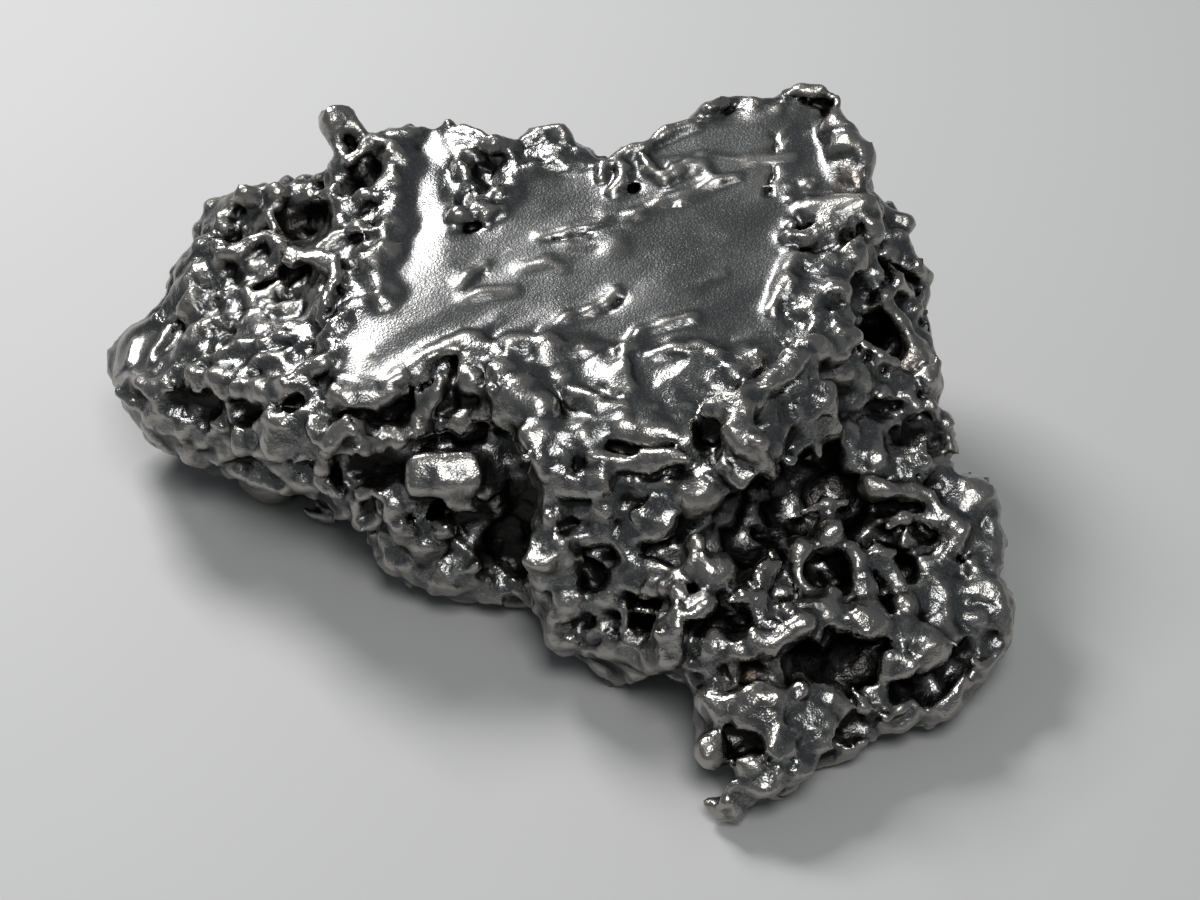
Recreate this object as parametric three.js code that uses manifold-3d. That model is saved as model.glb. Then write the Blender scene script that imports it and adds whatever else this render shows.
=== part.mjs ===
// Iron meteorite: one natural piece of metal, millimetres, +Z up, resting on its own underside.
// The form is sculpted as a distance field and then meshed. Its outlines and marks are placed on sight
// lines of a 1200 x 900 picture, so a pair such as [722, 405] is a column and a row of that picture.
import * as THREE from "three";
import { mergeVertices } from "three/addons/utils/BufferGeometryUtils.js";
import Module from "manifold-3d";

const FACES = 9300; // faces left after simplifying
const GRID = 0.7; // spacing of the field's points
const FAR = 6; // field value in empty space
const PLAN_CENTRE = [-3.57, 2.7]; // middle of the piece in plan, as seen from the target of the sight lines

// Sight lines: a lens above the front of the piece, looking down at its middle.
const FRAME = { width: 1200, height: 900 };
const FOCAL = (85 / 36) * FRAME.width;
const DISTANCE = 187;
const ELEVATION = THREE.MathUtils.degToRad(42);
const TARGET = new THREE.Vector3(0, 0, 12);
const FORWARD = new THREE.Vector3(0, Math.cos(ELEVATION), -Math.sin(ELEVATION));
const UP = new THREE.Vector3(0, Math.sin(ELEVATION), Math.cos(ELEVATION));
const EYE = TARGET.clone().addScaledVector(FORWARD, -DISTANCE);

// Direction of the sight line through a column and a row.
function sightLine([column, row]) {
  const across = (column - FRAME.width / 2) / FOCAL;
  const above = (FRAME.height / 2 - row) / FOCAL;
  return FORWARD.clone().add(new THREE.Vector3(across, 0, 0)).addScaledVector(UP, above).normalize();
}

// Point at height z on the sight line through a column and a row.
function pointAt([column, row, z]) {
  const direction = sightLine([column, row]);
  return EYE.clone().addScaledVector(direction, (z - EYE.z) / direction.z);
}

// Column and row of a point.
function project(x, y, z) {
  const depth = (y - EYE.y) * FORWARD.y + (z - EYE.z) * FORWARD.z;
  const above = ((y - EYE.y) * UP.y + (z - EYE.z) * UP.z) / depth;
  return [FRAME.width / 2 + (FOCAL * x) / depth, FRAME.height / 2 - FOCAL * above];
}

// Outline of the whole piece in the picture.
const OUTLINE = [
  [103, 372], [106, 350], [118, 328], [140, 310], [160, 290], [172, 272], [190, 255], [190, 228],
  [203, 213], [206, 203], [222, 197], [240, 189], [262, 185], [285, 177], [305, 177], [326, 172],
  [320, 150], [316, 128], [326, 110], [343, 107], [357, 117], [368, 136], [388, 127], [408, 117],
  [440, 118], [470, 124], [486, 136], [520, 142], [532, 130], [562, 125], [575, 138], [600, 153],
  [615, 150], [640, 136], [665, 121], [700, 105], [725, 99], [757, 98], [785, 92], [802, 85],
  [822, 88], [839, 97], [846, 118], [859, 135], [873, 158], [869, 186], [884, 200], [912, 213],
  [916, 228], [908, 240], [914, 260], [932, 276], [929, 300], [934, 350], [943, 385], [938, 403],
  [955, 430], [961, 452], [948, 474], [985, 478], [997, 488], [1003, 520], [1008, 540], [1001, 578],
  [1012, 592], [1017, 610], [1009, 645], [990, 675], [962, 705], [940, 733], [905, 756], [865, 750],
  [830, 765], [815, 782], [786, 798], [756, 801], [738, 822], [718, 819], [705, 804], [722, 786],
  [736, 776], [705, 771], [694, 752], [694, 720], [690, 692], [665, 672], [620, 684], [598, 670],
  [580, 655], [562, 653], [547, 643], [545, 612], [500, 611], [450, 604], [420, 585], [390, 582],
  [372, 562], [366, 540], [345, 523], [318, 521], [298, 503], [255, 488], [212, 474], [178, 461],
  [145, 441], [132, 418], [112, 397],
];
// Upper edge of the slab: column, row and height.
const SLAB = [
  [335, 395, 16.5], [390, 400, 17], [430, 375, 18], [497, 362, 18.5], [522, 432, 17], [533, 462, 16],
  [640, 464, 16.5], [700, 445, 18], [745, 468, 18], [800, 405, 18.5], [850, 352, 18.5],
  [852, 260, 19.5], [873, 205, 21], [868, 160, 21.5], [845, 110, 22], [800, 86, 22.5],
  [700, 104, 22.5], [615, 149, 22], [560, 127, 21.5], [480, 128, 21.5], [400, 118, 21],
  [330, 158, 18.5], [300, 250, 16.5], [300, 330, 16],
];
// Upper edge of the arm.
const ARM = [
  [345, 397, 17], [285, 394, 15.5], [245, 391, 14.5], [200, 386, 13.3], [150, 400, 11.5],
  [98, 376, 9.5], [100, 332, 9.5], [163, 285, 11], [190, 232, 13], [240, 189, 15], [300, 177, 17],
  [350, 158, 19], [420, 250, 18], [420, 330, 17.5],
];
// Plan of the trunk under both, millimetres.
const TRUNK = [
  [-30, 9], [-21, 4.5], [-15, -1], [-10, -3.3], [-3.5, -3], [5, -4], [14, 0], [18, 8], [17, 21],
  [8, 23], [-2, 18], [-14, 20], [-26, 17],
];
// Plan of the leg.
const LEG = [
  [-5.5, 1], [-4.2, -5], [-4, -9.8], [1, -12.4], [6, -11.5], [9, -8], [10, 3],
];
// Plan of the lobe.
const LOBE = [
  [5, -11], [7, -18], [13, -19.6], [18.5, -18.6], [24, -15.6], [28, -10.4], [28.6, -3], [24.5, 4],
  [14, 6], [6, -4],
];
// Plan of the right flank.
const FLANK = [
  [13, 0], [17, 16], [19, 21.5], [23.5, 15], [24.5, 4], [27, 1], [20, -3],
];
// Plan of the foot behind the block.
const FOOT = [
  [-16, 0], [-14.5, -1.6], [-10, -3.9], [-3, -3.6], [0, 0], [-5, 4],
];
// Plan of the toe.
const TOE = [
  [4.5, -11], [4.6, -19], [6.5, -22.6], [9.6, -22.8], [13, -21.6], [15, -19], [13.5, -13],
];
const PITS = [
  { name: "great hollow", radius: 3.0, depth: 3.4, run: [[715, 535], [755, 525], [800, 505], [835, 490]] },
  { name: "hollow roof", radius: 2.0, depth: 2.4, run: [[790, 470], [815, 475]] },
  { name: "block gap", radius: 1.2, depth: 1.5, run: [[395, 452], [425, 441], [470, 440], [500, 447]] },
  { name: "leg cleft", radius: 1.9, depth: 2.6, run: [[503, 425], [508, 455], [514, 490], [520, 525],
      [505, 560]] },
  { name: "arm underside west", radius: 1.3, depth: 1.2, run: [[172, 408], [205, 405]] },
  { name: "arm underside", radius: 1.3, depth: 1.4, run: [[235, 410], [262, 405], [285, 403]] },
  { name: "ring pocket", radius: 1.7, depth: 1.8, run: [[355, 465], [385, 465]] },
  { name: "under dome", radius: 1.5, depth: 1.2, run: [[290, 470], [310, 460]] },
  { name: "crater", radius: 2.0, depth: 1.5, run: [[295, 218], [312, 222]] },
  { name: "back crater", radius: 1.5, depth: 1.3, run: [[352, 180], [362, 170]] },
  { name: "arm trench", radius: 0.9, depth: 1.0, run: [[262, 289], [276, 280], [292, 271], [315, 270],
      [326, 281]] },
  { name: "lump undercut", radius: 0.9, depth: 1.0, run: [[228, 238], [245, 238], [262, 232]] },
  { name: "lip gap", radius: 0.9, depth: 0.9, run: [[340, 415], [370, 415], [395, 412]] },
  { name: "rim gap", radius: 0.7, depth: 0.8, run: [[395, 392], [412, 388], [425, 383]] },
  { name: "right pocket", radius: 0.9, depth: 1.2, run: [[850, 234], [866, 226], [876, 240]] },
  { name: "right pocket low", radius: 0.9, depth: 1.0, run: [[880, 262], [890, 268]] },
  { name: "flank well", radius: 1.5, depth: 1.8, run: [[880, 333], [895, 342]] },
  { name: "flank well top", radius: 0.9, depth: 1.1, run: [[900, 278], [914, 282]] },
  { name: "ring well", radius: 1.5, depth: 1.6, run: [[920, 432], [932, 432]] },
  { name: "shelf below crest", radius: 0.8, depth: 1.0, run: [[815, 385], [825, 395]] },
  { name: "lip well", radius: 0.8, depth: 1.1, run: [[888, 506], [902, 507], [916, 508]] },
  { name: "dark under lip", radius: 1.3, depth: 1.5, run: [[880, 545], [900, 575], [915, 575]] },
  { name: "bowl", radius: 1.8, depth: 1.4, run: [[822, 575], [830, 572]] },
  { name: "dark under crest 2", radius: 1.6, depth: 1.8, run: [[800, 665], [840, 668], [870, 655]] },
  { name: "dark seam", radius: 0.8, depth: 1.0, run: [[690, 632], [715, 622], [745, 616]] },
  { name: "dark left seam", radius: 0.7, depth: 0.9, run: [[690, 590], [685, 610]] },
  { name: "leg pocket 1", radius: 1.2, depth: 1.1, run: [[590, 577], [596, 582]] },
  { name: "leg pocket 2", radius: 0.7, depth: 0.8, run: [[592, 550], [612, 550]] },
  { name: "leg pocket 3", radius: 1.0, depth: 0.9, run: [[640, 628], [648, 632]] },
  { name: "leg pocket 4", radius: 0.8, depth: 0.8, run: [[575, 622], [590, 615]] },
  { name: "leg pocket 5", radius: 0.8, depth: 0.8, run: [[650, 600], [665, 605]] },
  { name: "toe pocket", radius: 1.3, depth: 1.1, run: [[740, 738], [745, 748]] },
  { name: "toe pocket 2", radius: 0.7, depth: 0.7, run: [[765, 750]] },
  { name: "toe gap", radius: 0.9, depth: 1.0, run: [[715, 780], [725, 778]] },
  { name: "lobe dark", radius: 1.2, depth: 1.1, run: [[868, 720], [850, 728]] },
  { name: "lobe dark 2", radius: 0.8, depth: 0.8, run: [[892, 738], [900, 736]] },
  { name: "lobe seam", radius: 0.9, depth: 1.2, run: [[885, 640], [892, 610], [905, 590]] },
  { name: "lobe seam 2", radius: 1.1, depth: 1.0, run: [[905, 690], [940, 680], [965, 650]] },
  { name: "back dark", radius: 0.9, depth: 0.8, run: [[850, 178], [858, 180]] },
  { name: "foot hollow", radius: 2.0, depth: 1.6, run: [[470, 525], [500, 530]] },
  { name: "foot hollow 2", radius: 1.2, depth: 0.7, run: [[455, 560]] },
  { name: "under block", radius: 0.8, depth: 1.3, run: [[418, 512], [434, 514], [450, 510], [492, 503]] },
  { name: "nose pocket", radius: 1.3, depth: 1.3, run: [[709, 428], [704, 452]] },
  { name: "crest face", radius: 1.5, depth: 0.6, run: [[700, 398], [724, 392], [748, 382]] },
  { name: "crest undercut", radius: 0.6, depth: 0.9, run: [[806, 380], [789, 394], [770, 411]] },
  { name: "nose wall", radius: 2.0, depth: 1.1, run: [[716, 500], [722, 528]] },
  { name: "back patch trench", radius: 0.8, depth: 0.5, run: [[470, 150], [484, 170], [486, 190]] },
];
const RIDGES = [
  { name: "arm rim west", radius: 0.75, proud: 0.0, run: [[122, 378], [145, 386], [157, 392],
      [170, 385], [183, 377], [195, 376]] },
  { name: "arm rim middle", radius: 0.75, proud: 0.0, run: [[203, 380], [225, 378], [240, 384]] },
  { name: "arm rim east", radius: 0.8, proud: 0.0, run: [[249, 386], [262, 390], [277, 393],
      [293, 387], [308, 377], [322, 367], [335, 361]] },
  { name: "slab lip west", radius: 0.75, proud: 0.0, run: [[335, 394], [352, 398], [372, 397],
      [386, 396]] },
  { name: "slab lip step", radius: 0.7, proud: 0.0, run: [[388, 384], [402, 378], [418, 374]] },
  { name: "slab lip step 2", radius: 0.7, proud: 0.0, run: [[418, 366], [430, 360]] },
  { name: "slab lip mid", radius: 0.6, proud: 0.15, run: [[436, 354], [450, 347], [464, 342],
      [478, 344], [486, 352], [496, 354]] },
  { name: "scale a", radius: 0.8, proud: 0.1, run: [[188, 342], [203, 330], [220, 322]] },
  { name: "scale d", radius: 0.6, proud: 0.15, run: [[246, 374], [262, 362], [280, 358]] },
  { name: "arm crest", radius: 0.65, proud: 0.4, run: [[222, 259], [240, 256], [254, 247], [268, 243],
      [282, 251], [300, 258], [319, 262], [331, 268], [335, 286]] },
  { name: "arm crest branch", radius: 0.6, proud: 0.35, run: [[254, 288], [270, 276], [286, 262]] },
  { name: "back ridge", radius: 0.6, proud: 0.35, run: [[318, 183], [335, 176], [350, 164], [366, 151],
      [378, 143]] },
  { name: "ball", radius: 1.25, proud: 0.2, run: [[334, 120]] },
  { name: "ball side", radius: 0.8, proud: 0.0, run: [[349, 118]] },
  { name: "ball neck", radius: 0.95, proud: 0.1, run: [[332, 140], [340, 150], [348, 154]] },
  { name: "outline knob a", radius: 0.75, proud: 0.19, run: [[287, 181]] },
  { name: "outline knob b", radius: 0.75, proud: 0.19, run: [[304, 181]] },
  { name: "outline knob c", radius: 0.8, proud: 0.2, run: [[276, 193]] },
  { name: "big knob", radius: 1.7, proud: 0.3, run: [[243, 205]] },
  { name: "big knob face", radius: 0.9, proud: 0.9, run: [[256, 204]] },
  { name: "ring knob", radius: 0.95, proud: 0.24, run: [[214, 208]] },
  { name: "west knob", radius: 0.75, proud: 0.19, run: [[197, 230]] },
  { name: "west knob 2", radius: 0.8, proud: 0.4, run: [[225, 230]] },
  { name: "west knob 3", radius: 0.8, proud: 0.2, run: [[212, 243]] },
  { name: "west bead", radius: 0.75, proud: 0.2, run: [[186, 283]] },
  { name: "west bead 2", radius: 0.6, proud: 0.2, run: [[193, 298]] },
  { name: "arm patch", radius: 0.9, proud: 0.2, run: [[290, 312]] },
  { name: "arm patch 2", radius: 0.6, proud: 0.2, run: [[322, 318], [328, 306], [330, 296]] },
  { name: "arm patch 3", radius: 0.6, proud: 0.2, run: [[272, 310]] },
  { name: "arm patch 4", radius: 0.8, proud: 0.0, run: [[300, 288]] },
  { name: "slab west rim", radius: 0.9, proud: -0.25, run: [[395, 142], [410, 168], [395, 203],
      [403, 225], [388, 255], [374, 270], [388, 293]] },
  { name: "back patch a", radius: 0.7, proud: 0.3, run: [[464, 130], [480, 136], [495, 146], [515, 147]] },
  { name: "back patch b", radius: 0.8, proud: 0.4, run: [[535, 135], [556, 133]] },
  { name: "back patch c", radius: 0.9, proud: 0.4, run: [[564, 134]] },
  { name: "back patch d", radius: 0.7, proud: 0.3, run: [[497, 196]] },
  { name: "back patch f", radius: 0.75, proud: 0.4, run: [[459, 216]] },
  { name: "slab ripple", radius: 0.6, proud: -0.25, run: [[606, 216], [632, 215], [658, 205],
      [680, 199], [698, 192]] },
  { name: "slab swell", radius: 1.4, proud: -0.9, run: [[612, 246]] },
  { name: "slab grit b", radius: 0.6, proud: 0.0, run: [[808, 184]] },
  { name: "back rim bright", radius: 0.75, proud: 0.3, run: [[706, 106], [722, 103], [740, 106],
      [756, 106]] },
  { name: "peak rim", radius: 0.6, proud: 0.4, run: [[784, 101], [800, 92], [820, 93], [833, 103],
      [836, 118]] },
  { name: "peak rim 2", radius: 0.6, proud: 0.4, run: [[836, 118], [846, 133], [858, 150]] },
  { name: "peak bead", radius: 1.0, proud: 0.5, run: [[835, 131]] },
  { name: "peak foot", radius: 0.95, proud: 0.6, run: [[838, 155], [852, 156], [866, 158]] },
  { name: "peak dark", radius: 1.1, proud: 0.3, run: [[855, 172]] },
  { name: "east shoulder", radius: 1.0, proud: 0.1, run: [[812, 210], [835, 212], [855, 208], [868, 205]] },
  { name: "east curl", radius: 0.6, proud: 0.4, run: [[786, 238], [803, 243], [818, 238], [827, 228]] },
  { name: "slab east rim", radius: 0.6, proud: 0.0, run: [[795, 258], [790, 272], [788, 284],
      [780, 296], [772, 312]] },
  { name: "low swell", radius: 0.6, proud: -0.1, run: [[656, 356], [674, 351], [700, 346], [718, 352]] },
  { name: "pale patch", radius: 0.9, proud: -0.3, run: [[736, 374], [750, 358], [774, 350]] },
  { name: "brow west", radius: 1.1, proud: 0.0, run: [[506, 368], [518, 352], [542, 346]] },
  { name: "brow knob", radius: 1.7, proud: 0.4, run: [[517, 397]] },
  { name: "brow knob 2", radius: 1.1, proud: 0.4, run: [[540, 408]] },
  { name: "brow roll", radius: 0.7, proud: 0.0, run: [[562, 388], [578, 398], [600, 402]] },
  { name: "brow step", radius: 0.8, proud: -0.1, run: [[528, 434], [550, 432], [576, 432]] },
  { name: "brow slab", radius: 0.8, proud: -0.3, run: [[620, 425], [650, 428], [680, 430]] },
  { name: "step face", radius: 0.8, proud: -0.3, run: [[532, 478], [560, 482], [600, 484]] },
  { name: "crest east", radius: 0.95, proud: 0.4, run: [[848, 338], [834, 344], [820, 350]] },
  { name: "great crest", radius: 0.95, proud: 0.9, run: [[814, 353], [800, 365], [784, 379],
      [764, 391], [746, 402], [734, 416]] },
  { name: "crest nose", radius: 1.0, proud: 1.1, run: [[734, 416], [735, 436], [736, 456]] },
  { name: "crest nose fork", radius: 0.8, proud: 0.9, run: [[736, 440], [748, 458], [764, 471]] },
  { name: "crest branch", radius: 0.7, proud: 0.3, run: [[734, 412], [720, 412], [707, 410]] },
  { name: "crest pad", radius: 1.0, proud: 0.1, run: [[760, 408]] },
  { name: "shelf lump", radius: 1.3, proud: 0.2, run: [[840, 370]] },
  { name: "shelf blade", radius: 0.6, proud: 0.6, run: [[822, 388]] },
  { name: "shelf wedge", radius: 2.0, proud: 0.3, run: [[800, 418]] },
  { name: "shelf lip", radius: 0.8, proud: 0.5, run: [[802, 432], [820, 428], [840, 431], [845, 447]] },
  { name: "shelf bead", radius: 0.85, proud: 0.4, run: [[852, 463]] },
  { name: "spout", radius: 0.65, proud: 0.6, run: [[866, 484], [882, 494], [905, 492], [925, 498],
      [935, 512], [933, 524]] },
  { name: "spout root", radius: 0.95, proud: 0.3, run: [[872, 490]] },
  { name: "hook", radius: 0.8, proud: 0.5, run: [[922, 566], [942, 559], [956, 546], [961, 532],
      [950, 520]] },
  { name: "hollow cheek", radius: 1.5, proud: 0.2, run: [[697, 495]] },
  { name: "hollow cheek 2", radius: 0.7, proud: 0.3, run: [[697, 542]] },
  { name: "hollow floor lump", radius: 1.2, proud: 0.2, run: [[828, 535]] },
  { name: "hollow floor lump 2", radius: 1.0, proud: 0.2, run: [[800, 550]] },
  { name: "finger", radius: 0.6, proud: 0.6, run: [[752, 578], [762, 570], [771, 566]] },
  { name: "leg tier 1", radius: 0.65, proud: 0.15, run: [[549, 518], [566, 514], [586, 508],
      [606, 507], [624, 510], [641, 518], [660, 518], [672, 522]] },
  { name: "leg tile", radius: 0.9, proud: 0.3, run: [[632, 531], [650, 531], [665, 529]] },
  { name: "leg tier 2", radius: 0.6, proud: 0.15, run: [[562, 546], [573, 538], [590, 540], [606, 533],
      [620, 538], [634, 546]] },
  { name: "leg side", radius: 0.7, proud: 0.3, run: [[561, 552], [568, 575], [565, 600], [556, 618],
      [550, 632]] },
  { name: "leg tier 3", radius: 0.6, proud: 0.2, run: [[568, 601], [588, 598], [606, 600]] },
  { name: "leg lump", radius: 1.0, proud: 0.3, run: [[611, 592], [624, 577], [645, 576]] },
  { name: "leg hook", radius: 0.6, proud: 0.3, run: [[622, 552], [636, 566], [652, 570]] },
  { name: "leg base west", radius: 1.1, proud: 0.2, run: [[552, 634], [562, 642], [578, 642]] },
  { name: "leg base rim", radius: 0.95, proud: 0.4, run: [[612, 646], [638, 649], [655, 646],
      [670, 631], [678, 619]] },
  { name: "leg keel", radius: 0.9, proud: 0.1, run: [[585, 655], [602, 668], [620, 676], [645, 664],
      [672, 658]] },
  { name: "middle plate", radius: 1.4, proud: 0.1, run: [[714, 573]] },
  { name: "middle wedge", radius: 0.9, proud: 0.4, run: [[703, 606]] },
  { name: "middle facet", radius: 1.1, proud: 0.3, run: [[712, 646]] },
  { name: "brow two", radius: 0.85, proud: 0.7, run: [[742, 652], [760, 643], [785, 638], [800, 628],
      [815, 617], [826, 612], [836, 620], [856, 627], [870, 620]] },
  { name: "brow two bead", radius: 1.05, proud: 0.6, run: [[823, 615]] },
  { name: "brow two bead 2", radius: 1.25, proud: 0.6, run: [[869, 622]] },
  { name: "bowl rim east", radius: 0.7, proud: 0.4, run: [[852, 556], [861, 572], [866, 592],
      [862, 610], [851, 614]] },
  { name: "bowl neighbour", radius: 0.85, proud: 0.3, run: [[872, 552], [886, 568], [894, 586]] },
  { name: "middle grit", radius: 0.65, proud: 0.2, run: [[783, 592]] },
  { name: "middle grit 2", radius: 0.6, proud: 0.3, run: [[786, 612]] },
  { name: "lower lip", radius: 0.7, proud: 0.6, run: [[774, 702], [795, 694], [815, 693], [832, 699]] },
  { name: "lower lip knob", radius: 1.1, proud: 0.5, run: [[826, 702]] },
  { name: "toe top", radius: 1.3, proud: 0.1, run: [[712, 702]] },
  { name: "toe brow", radius: 0.8, proud: 0.4, run: [[726, 717], [740, 712], [751, 700], [762, 693],
      [776, 698]] },
  { name: "toe arch", radius: 0.6, proud: 0.5, run: [[742, 714], [754, 724], [767, 727], [775, 740],
      [778, 758], [777, 775]] },
  { name: "toe knob", radius: 1.1, proud: 0.2, run: [[707, 750]] },
  { name: "toe knob 2", radius: 0.8, proud: 0.4, run: [[752, 768]] },
  { name: "toe low", radius: 0.9, proud: 0.1, run: [[772, 785]] },
  { name: "toe tip", radius: 0.7, proud: 0.1, run: [[709, 800], [720, 808], [734, 812], [742, 814]] },
  { name: "lobe crest", radius: 0.75, proud: 0.5, run: [[884, 660], [902, 663], [918, 656], [930, 648]] },
  { name: "lobe crest knob", radius: 1.2, proud: 0.4, run: [[926, 649]] },
  { name: "lobe crest knob 2", radius: 1.2, proud: 0.3, run: [[942, 632]] },
  { name: "lobe plate", radius: 1.9, proud: 0.0, run: [[935, 593]] },
  { name: "lobe bead", radius: 0.85, proud: 0.3, run: [[967, 592]] },
  { name: "lobe edge", radius: 0.7, proud: 0.3, run: [[972, 566], [984, 588], [995, 606], [1003, 626],
      [1005, 642]] },
  { name: "lobe grey", radius: 1.2, proud: 0.2, run: [[902, 630]] },
  { name: "lobe grey 2", radius: 0.8, proud: 0.2, run: [[905, 605]] },
  { name: "lobe grey 3", radius: 0.9, proud: 0.2, run: [[972, 618]] },
  { name: "flank knob a", radius: 0.75, proud: 0.2, run: [[908, 223]] },
  { name: "flank knob b", radius: 0.7, proud: 0.4, run: [[896, 236], [908, 250]] },
  { name: "flank knob c", radius: 0.9, proud: 0.4, run: [[872, 232]] },
  { name: "flank knob d", radius: 0.9, proud: 0.3, run: [[886, 255]] },
  { name: "flank knob e", radius: 0.65, proud: 0.3, run: [[912, 262]] },
  { name: "flank rim", radius: 0.6, proud: 0.2, run: [[916, 268], [928, 276], [932, 292]] },
  { name: "flank knob f", radius: 0.7, proud: 0.4, run: [[892, 285], [905, 295]] },
  { name: "flank knob g", radius: 0.65, proud: 0.4, run: [[914, 311]] },
  { name: "flank rib", radius: 0.65, proud: 0.5, run: [[880, 300], [895, 325], [910, 350], [922, 372],
      [924, 384]] },
  { name: "flank rust lump", radius: 1.0, proud: 0.4, run: [[912, 366]] },
  { name: "flank knob h", radius: 0.85, proud: 0.1, run: [[936, 388]] },
  { name: "flank oval", radius: 1.0, proud: 0.4, run: [[855, 258]] },
  { name: "flank oval 2", radius: 0.9, proud: 0.2, run: [[838, 290]] },
  { name: "flank oval 3", radius: 0.9, proud: 0.1, run: [[870, 280]] },
  { name: "flank oval 4", radius: 0.8, proud: 0.1, run: [[843, 318]] },
  { name: "flank bright", radius: 0.9, proud: 0.2, run: [[876, 462]] },
  { name: "east cube", radius: 1.9, proud: 0.2, run: [[972, 498]] },
  { name: "dome", radius: 1.7, proud: 0.2, run: [[280, 440]] },
  { name: "west shine", radius: 0.9, proud: 0.1, run: [[240, 447]] },
  { name: "west keel", radius: 0.9, proud: 0.1, run: [[190, 456], [215, 465], [245, 470], [278, 488]] },
  { name: "short bar", radius: 0.6, proud: 0.4, run: [[312, 424], [321, 436], [335, 440]] },
  { name: "big ring", radius: 0.65, proud: 0.6, run: [[346, 424], [335, 440], [328, 460], [331, 476],
      [346, 488]] },
  { name: "wye", radius: 0.6, proud: 0.7, run: [[446, 381], [438, 395], [427, 408], [425, 425],
      [424, 437]] },
  { name: "west of block", radius: 0.95, proud: 0.5, run: [[399, 488], [399, 508], [408, 528],
      [424, 540]] },
  { name: "below block", radius: 1.2, proud: 0.2, run: [[422, 546]] },
  { name: "below block 2", radius: 0.8, proud: 0.5, run: [[446, 526]] },
  { name: "foot knob", radius: 1.0, proud: 0.1, run: [[395, 562]] },
  { name: "foot knob 2", radius: 1.0, proud: 0.1, run: [[425, 585]] },
  { name: "above block b", radius: 0.8, proud: 0.1, run: [[470, 386]] },
  { name: "above block c", radius: 0.6, proud: 0.2, run: [[487, 398]] },
];

// Smooth surface of the slab and of the arm's tip, in the picture.
const CALM = [
  [
    [352, 318], [345, 345], [342, 390], [385, 392], [430, 356], [470, 338], [500, 345], [545, 335],
    [600, 345], [625, 345], [690, 345], [740, 345], [780, 335], [775, 300], [790, 260], [785, 235],
    [800, 215], [860, 205], [835, 170], [820, 110], [790, 104], [700, 118], [640, 150], [600, 165],
    [520, 172], [490, 225], [455, 228], [450, 165], [455, 135], [430, 124], [398, 142], [410, 170],
    [392, 205], [403, 240], [374, 272], [390, 298],
  ],
  [[108, 375], [112, 345], [135, 322], [170, 325], [165, 350], [150, 380]],
];
const CALM_EDGE = 24; // picture units over which the smooth surface turns rough

const plan = (loop) => loop.map((place) => pointAt(place)).map(({ x, y }) => [x, y]);
const vectors = (points) => points.map((point) => new THREE.Vector3(...point));

// Plane through three points, facing up.
function planeThrough(points) {
  const plane = new THREE.Plane().setFromCoplanarPoints(...points);
  return plane.normal.z < 0 ? plane.negate() : plane;
}

// Main masses: outline in plan, plane of the upper face, floor height, outward lean towards the ground,
// and rounding of the edges.
const MASSES = [
  {
    name: "slab",
    outline: plan(SLAB),
    top: [[390, 398, 17], [830, 350, 18.7], [700, 106, 22.7]].map(pointAt),
    floor: 9.5,
    lean: 0.18,
    rounding: 1.6,
  },
  {
    name: "arm",
    outline: plan(ARM),
    top: [[112, 372, 9.5], [335, 395, 17], [300, 185, 17.2]].map(pointAt),
    floor: 3,
    lean: 0.28,
    rounding: 2.2,
  },
  {
    name: "trunk",
    outline: TRUNK,
    top: vectors([[-28, 9, 9], [-3, 0, 14], [16, 15, 15]]),
    floor: 1.2,
    lean: 0.12,
    rounding: 2,
  },
  {
    name: "leg",
    outline: LEG,
    top: [[530, 462, 16], [690, 462, 16.5], [600, 655, 4.5]].map(pointAt),
    floor: 1.2,
    lean: 0,
    rounding: 1.5,
  },
  {
    name: "lobe",
    outline: LOBE,
    top: [[900, 490, 11], [1000, 600, 6], [800, 720, 5]].map(pointAt),
    floor: 1.2,
    lean: 0.1,
    rounding: 2,
  },
  {
    name: "flank",
    outline: FLANK,
    top: [[905, 245, 16.5], [940, 380, 13], [860, 420, 14]].map(pointAt),
    floor: 1.4,
    lean: 0.1,
    rounding: 1.6,
  },
  {
    name: "foot",
    outline: FOOT,
    top: [[400, 540, 6], [520, 540, 7.5], [450, 500, 9.5]].map(pointAt),
    floor: 1.2,
    lean: 0,
    rounding: 1.6,
  },
  {
    name: "toe",
    outline: TOE,
    top: [[740, 690, 6.5], [780, 690, 6.5], [735, 800, 3]].map(pointAt),
    floor: 0.7,
    lean: 0,
    rounding: 1.2,
  },
];
const MASS_BLEND = 1.6; // roundness of the inner corners between masses
const UNDER_SLAB = 0.4; // how far the other masses stay below the plane of the slab
const MARK_SPARE = 0.4; // how far ridges and knobs may pass the outline of the picture

// The rectangular block held in the notch under the slab's front edge: corners of its upper face.
const BLOCK = {
  corners: [[403, 449, 14.2], [496, 450, 14.2], [499, 492, 12], [405, 499, 12]],
  depth: 5,
  rounding: 0.7,
};

// Points of the underside that stand on the ground: place in plan and radius.
const CONTACTS = [
  { name: "trunk, left", place: [-23, 9], radius: 2.6 },
  { name: "trunk, back left", place: [-14, 16], radius: 2.4 },
  { name: "trunk, back", place: [6, 19], radius: 2.4 },
  { name: "flank", place: [19, 14], radius: 2.2 },
  { name: "lobe", place: [21, -8], radius: 2.2 },
  { name: "lobe, front", place: [12, -14], radius: 1.8 },
  { name: "foot", place: [-9, -1], radius: 2 },
];
const CONTACT_DEPTH = 0.45; // how far a contact is pressed past the ground before it is cut flat

// Smooth union and smooth intersection of two distances.
function join(a, b, blend) {
  const overlap = Math.max(blend - Math.abs(a - b), 0) / blend;
  return Math.min(a, b) - (overlap * overlap * blend) / 4;
}
const carve = (a, b, blend) => -join(-a, -b, blend);

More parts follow.
